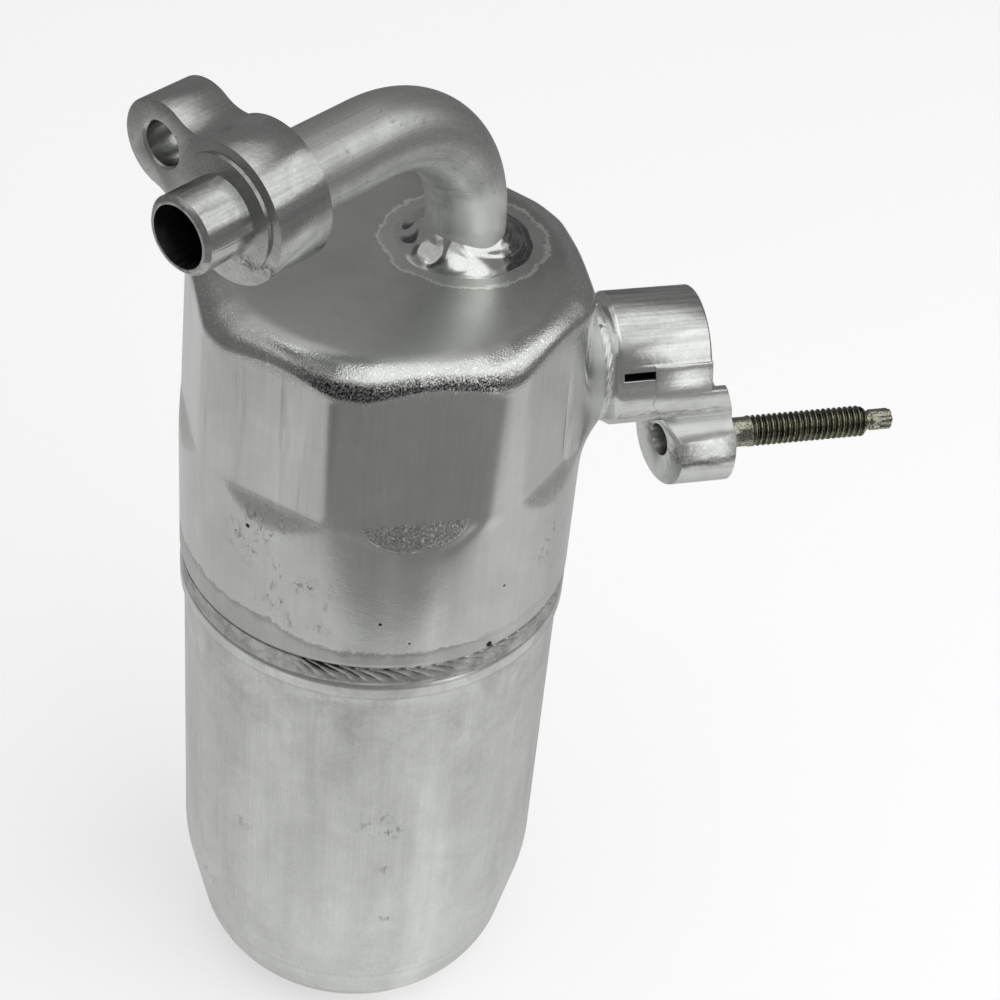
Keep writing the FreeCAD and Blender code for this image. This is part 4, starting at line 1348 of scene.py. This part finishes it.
studSizes = {
    "level": layout["studLevel"],
    "start": 78.2 * mm,
    "face": 89.9 * mm,
    "shankRadius": 3.85 * mm,
    "threadRadius": 4.08 * mm,
    "threadStart": 97.5 * mm,
    "threadEnd": 129.1 * mm,
    "threadParts": 250,
    "neckRadius": 2.45 * mm,
    "neckEnd": 130.8 * mm,
    "tipRadius": 2.85 * mm,
    "tipEnd": 136.45 * mm,
    "lobes": 6,
    "lobeDepth": 0.45 * mm,
    "steps": 48,
}

studThread = {
    "Pitch": 1.5 * mm,
    "Depth": 0.72 * mm,
    "Level": layout["studLevel"],
    "Thread start": 97.2 * mm,
    "Thread end": 128.6 * mm,
    "Run out": 1.2 * mm,
}


def studForm(s):
    r, shank, neck, tip = s["threadRadius"], s["shankRadius"], s["neckRadius"], s["tipRadius"]
    start, face, end = s["start"], s["face"], s["threadEnd"]
    neckEnd, tipEnd = s["neckEnd"], s["tipEnd"]
    profile = [(0.4 * mm, start), (r - 0.8 * mm, start), (r, start + 0.8 * mm), (r, face - 0.8 * mm)]
    profile += [(shank, face), (shank, s["threadStart"] - 0.6 * mm)]
    first, last, count = s["threadStart"] - 0.4 * mm, end - 0.8 * mm, s["threadParts"]
    profile += [(r, first + (last - first) * k / count) for k in range(count + 1)]
    profile += [(r - 0.8 * mm, end), (neck + 0.3 * mm, end + 0.05 * mm), (neck, end + 0.35 * mm)]
    profile += [(neck, neckEnd - 0.3 * mm), (neck + 0.3 * mm, neckEnd)]
    tipFirst = len(profile)
    profile += [(tip - 0.15 * mm, neckEnd + 0.02 * mm), (tip, neckEnd + 0.3 * mm), (tip, tipEnd - 0.4 * mm)]
    profile += [(tip - 0.4 * mm, tipEnd), (0.5 * mm, tipEnd)]
    rows = turnedRows(profile, s["steps"], "x", (0, 0, s["level"]))
    for row in rows[tipFirst:-1]:
        for i, (x, y, z) in enumerate(row):
            valley = (0.5 + 0.5 * math.cos(s["lobes"] * tau * i / s["steps"])) ** 1.5
            share = 1 - s["lobeDepth"] / tip * valley
            row[i] = (x, y * share, s["level"] + (z - s["level"]) * share)
    return ringMesh("clampStudBody", rows)


def threadTree():
    sheet = RuleSheet("studThread", studThread)
    given = sheet.given
    x, y, z = sheet.split(sheet.place)
    up = sheet.minus(z, given["Level"])
    angle, reach = sheet.turnAndReach(y, up)
    turns = sheet.total(sheet.over(x, given["Pitch"]), sheet.product(angle, 1 / tau))
    valley = sheet.fall(sheet.gap(sheet.maths("FRACT", turns), 0.5), 0.10, 0.44)
    full = sheet.total(given["Thread start"], given["Run out"])
    runIn = sheet.remap(x, given["Thread start"], full, soft=True)
    runOut = sheet.fall(x, sheet.minus(given["Thread end"], 0.5 * mm), given["Thread end"])
    cut = sheet.product(valley, runIn, runOut)
    push = sheet.product(cut, given["Depth"], -1.0)
    return sheet.close(sheet.along(0.0, *sheet.outwards(push, reach, y, up)), sheet.minus(1.0, cut))


def passivatedStudFinish():
    sheet = FinishSheet("passivatedStudSteel")
    patch = sheet.cloud(420, 4, 0.65)
    grain = sheet.cloud(2200, 2, 0.6)
    film = sheet.mix(sheet.remap(patch, 0.35, 0.65), (0.045, 0.050, 0.034), (0.17, 0.165, 0.105))
    worn = sheet.product(sheet.remap(sheet.attribute("crest"), 0.7, 1.0), sheet.remap(grain, 0.35, 0.6), 0.8)
    return sheet.finish(sheet.mix(worn, film, (0.58, 0.57, 0.48)), sheet.vary(grain, 0.28, 0.15),
                        sheet.relief((grain, 0.012)))


studMetal = passivatedStudFinish()
stud = ruledMesh(studForm(studSizes), threadTree(), studThread, studMetal, 50)
addPiece("clampStudBody", stud, studMetal, "stud_steel", "clamp_stud")


# Pieces that keep their modelled shape: the braze ring and what the vessel holds

def dullMetal(name, tone, roughness):
    sheet = FinishSheet(name)
    patch = sheet.cloud(200, 4, 0.6)
    line = sheet.cloud((1200, 1200, 30), 3, 0.6)
    share = sheet.total(tone, sheet.vary(patch, -0.08, 0.08), sheet.vary(line, -0.05, 0.05))
    return sheet.finish(sheet.bareMetal(share), sheet.vary(patch, roughness, roughness + 0.1),
                        sheet.relief((line, 0.01)))


def mouldedNylon():
    sheet = FinishSheet("mouldedNylon", 0.0)
    grain = sheet.cloud(2500, 2, 0.6)
    colour = sheet.mix(sheet.cloud(90, 3, 0.6), (0.74, 0.72, 0.62), (0.84, 0.82, 0.74))
    return sheet.finish(colour, sheet.vary(grain, 0.42, 0.55), sheet.relief((grain, 0.02)))


def sleeveRubber():
    sheet = FinishSheet("sleeveRubber", 0.0)
    grain = sheet.cloud(1800, 3, 0.6)
    return sheet.finish(sheet.mix(grain, (0.016, 0.016, 0.016), (0.035, 0.035, 0.034)), 0.6,
                        sheet.relief((grain, 0.03)))


def wovenMesh():
    sheet = FinishSheet("wovenFilterMesh", 0.0)
    turn, _ = sheet.turnAndReach(sheet.x, sheet.y)
    waves = [sheet.product(turn, 60.0), sheet.product(sheet.z, math.pi / (0.4 * mm))]
    thread = sheet.larger(*(sheet.maths("ABSOLUTE", sheet.maths("SINE", wave)) for wave in waves))
    colour = sheet.mix(sheet.remap(thread, 0.6, 0.95), (0.10, 0.10, 0.09), (0.72, 0.72, 0.66))
    return sheet.finish(colour, 0.6, sheet.relief((thread, 0.05)))


def needledFelt():
    sheet = FinishSheet("needledFelt", 0.0)
    fibre = sheet.cloud(900, 5, 0.7, 1.2)
    colour = sheet.mix(fibre, (0.62, 0.61, 0.56), (0.84, 0.83, 0.79))
    return sheet.finish(colour, 0.9, sheet.relief((fibre, 0.1), (sheet.cells(sheet.place, 520), -0.5)))


nylon = mouldedNylon()
felt = needledFelt()
keptPieces = {
    "inlet_block_braze": dullMetal("dullBrazeMetal", 0.30, 0.45),
    "pickup_tube": dullMetal("pickupTubeMetal", 0.58, 0.3),
    "outlet_sleeve_seal": sleeveRubber(),
    "oil_filter_mesh": wovenMesh(),
    "oil_filter_cage": nylon,
    "deflector": nylon,
    "leg_spacer": nylon,
    "bag_tie": nylon,
    "desiccant_bag_front": felt,
    "desiccant_bag_rear": felt,
}
for node, material in keptPieces.items():
    cover(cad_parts[node].data, material)
print("inner pieces finished")


# Floor, lights and camera

studio = {
    "floorLevel": cadBox[0][2],
    "tableEdge": [(-1.6, -0.195), (-0.10, -0.203), (0.02, -0.214), (0.087, -0.215), (0.13, -0.206),
                  (0.17, -0.200), (0.30, -0.208), (1.6, -0.24)],
    "tableBack": 2.2,
    "tablePaint": (0.87, 0.87, 0.87),
    "dimPaint": (0.36, 0.36, 0.36),
    "nearGlow": 0.15,
    "seenGlow": 0.44,
    "dimStart": 0.34,
    "dimEnd": 0.72,
    "roomTone": 0.20,
}

# lamps: place, aim, width and height in metres, power in watts
lamps = {
    "keySoftbox": ((0.93, -0.67, 1.06), (0, 0, 0.08), 2.6, 1.15, 8.7),
    "overheadSoftbox": ((0.0, -0.1, 1.9), (0, 0, 0), 1.9, 1.9, 5.2),
    "ceilingGlow": ((-0.35, 0.1, 1.95), (0, 0, 0), 3.3, 3.3, 9.5),
    "frontCard": ((0.229, -0.395, 0.032), (0.085, 0, 0.1), 0.14, 0.21, 0.095),
    "frontCurtain": ((0.24, -1.0, -0.6), (0, 0, 0.1), 2.4, 0.9, 0.44),
}

view = {
    "elevation": 39.912,
    "azimuth": -17.827,
    "roll": 6.091,
    "focalPixels": 2335.255,
    "pixels": 1000,
    "sensor": 36.0,
    "place": (-107.914 * mm, -436.345 * mm, 445.559 * mm),
}


def addFloor(s):
    # wide table whose front edge bends back on the right
    half = s["tableEdge"][-1][0]
    outline = s["tableEdge"] + [(half, s["tableBack"]), (-half, s["tableBack"])]
    mesh = bpy.data.meshes.new("paleTable")
    mesh.from_pydata([(x, y, s["floorLevel"]) for x, y in outline], [], [tuple(range(len(outline)))])
    table = holderFor(mesh)
    sheet = FinishSheet("paleTablePaint", 0.0)
    # in the reflections of the metal the table glows close by and is dimmer far away
    path = sheet.add("ShaderNodeLightPath").outputs
    mirrored = path["Is Glossy Ray"]
    _, away = sheet.turnAndReach(sheet.x, sheet.y)
    far = sheet.remap(away, s["dimStart"], s["dimEnd"])
    backRight = sheet.product(sheet.remap(sheet.x, -0.02, 0.06), sheet.remap(sheet.y, -0.07, 0.05))
    near = sheet.product(sheet.remap(far, 0.0, 0.5, s["nearGlow"], 0.0), sheet.minus(1.0, backRight))
    glow = sheet.total(sheet.product(path["Is Camera Ray"], s["seenGlow"]), sheet.product(mirrored, near))
    sheet.shader.inputs["Emission Color"].default_value = (1, 1, 1, 1)
    sheet.feed(sheet.shader.inputs["Emission Strength"], glow)
    paint = sheet.mix(sheet.product(mirrored, far), s["tablePaint"], s["dimPaint"])
    mesh.materials.append(sheet.finish(paint, 0.7))


def addLamp(name, place, target, width, height, power):
    lamp = bpy.data.lights.new(name, "AREA")
    lamp.shape = "ELLIPSE" if width == height else "RECTANGLE"
    lamp.size = width
    lamp.size_y = height
    lamp.energy = power
    holder = bpy.data.objects.new(name, lamp)
    holder.location = place
    holder.visible_camera = False
    holder.rotation_euler = (Vector(target) - Vector(place)).to_track_quat("-Z", "Y").to_euler()
    bpy.context.scene.collection.objects.link(holder)


def addRoom(tone):
    # grey room for the metal, white where the camera looks past the table
    world = bpy.data.worlds.new("greyRoom")
    world.use_nodes = True
    sheet = NodeSheet(world.node_tree)
    seen = sheet.add("ShaderNodeLightPath").outputs["Is Camera Ray"]
    background = world.node_tree.nodes["Background"].inputs
    background["Color"].default_value = (1, 1, 1, 1)
    sheet.feed(background["Strength"], sheet.remap(seen, 0.0, 1.0, tone, 1.0))
    bpy.context.scene.world = world


def addCamera(v):
    camera = bpy.data.cameras.new("photoCamera")
    camera.sensor_fit = "HORIZONTAL"
    camera.sensor_width = v["sensor"]
    camera.lens = v["focalPixels"] / v["pixels"] * v["sensor"]
    camera.clip_start = 0.01
    elevation, azimuth, roll = (math.radians(v[key]) for key in ("elevation", "azimuth", "roll"))
    back = Vector((
        math.sin(azimuth) * math.cos(elevation),
        -math.cos(azimuth) * math.cos(elevation),
        math.sin(elevation),
    ))
    level = Vector((math.cos(azimuth), math.sin(azimuth), 0))
    upright = back.cross(level)
    across = math.cos(roll) * level + math.sin(roll) * upright
    upward = -math.sin(roll) * level + math.cos(roll) * upright
    turn = Matrix((across, upward, back)).transposed().to_4x4()
    holder = bpy.data.objects.new("photoCamera", camera)
    holder.matrix_world = Matrix.Translation(v["place"]) @ turn
    bpy.context.scene.collection.objects.link(holder)
    bpy.context.scene.camera = holder


addFloor(studio)
for name, values in lamps.items():
    addLamp(name, *values)
addRoom(studio["roomTone"])
bpy.context.scene.view_settings.view_transform = "Standard"
addCamera(view)
print("floor, lights and camera ready")
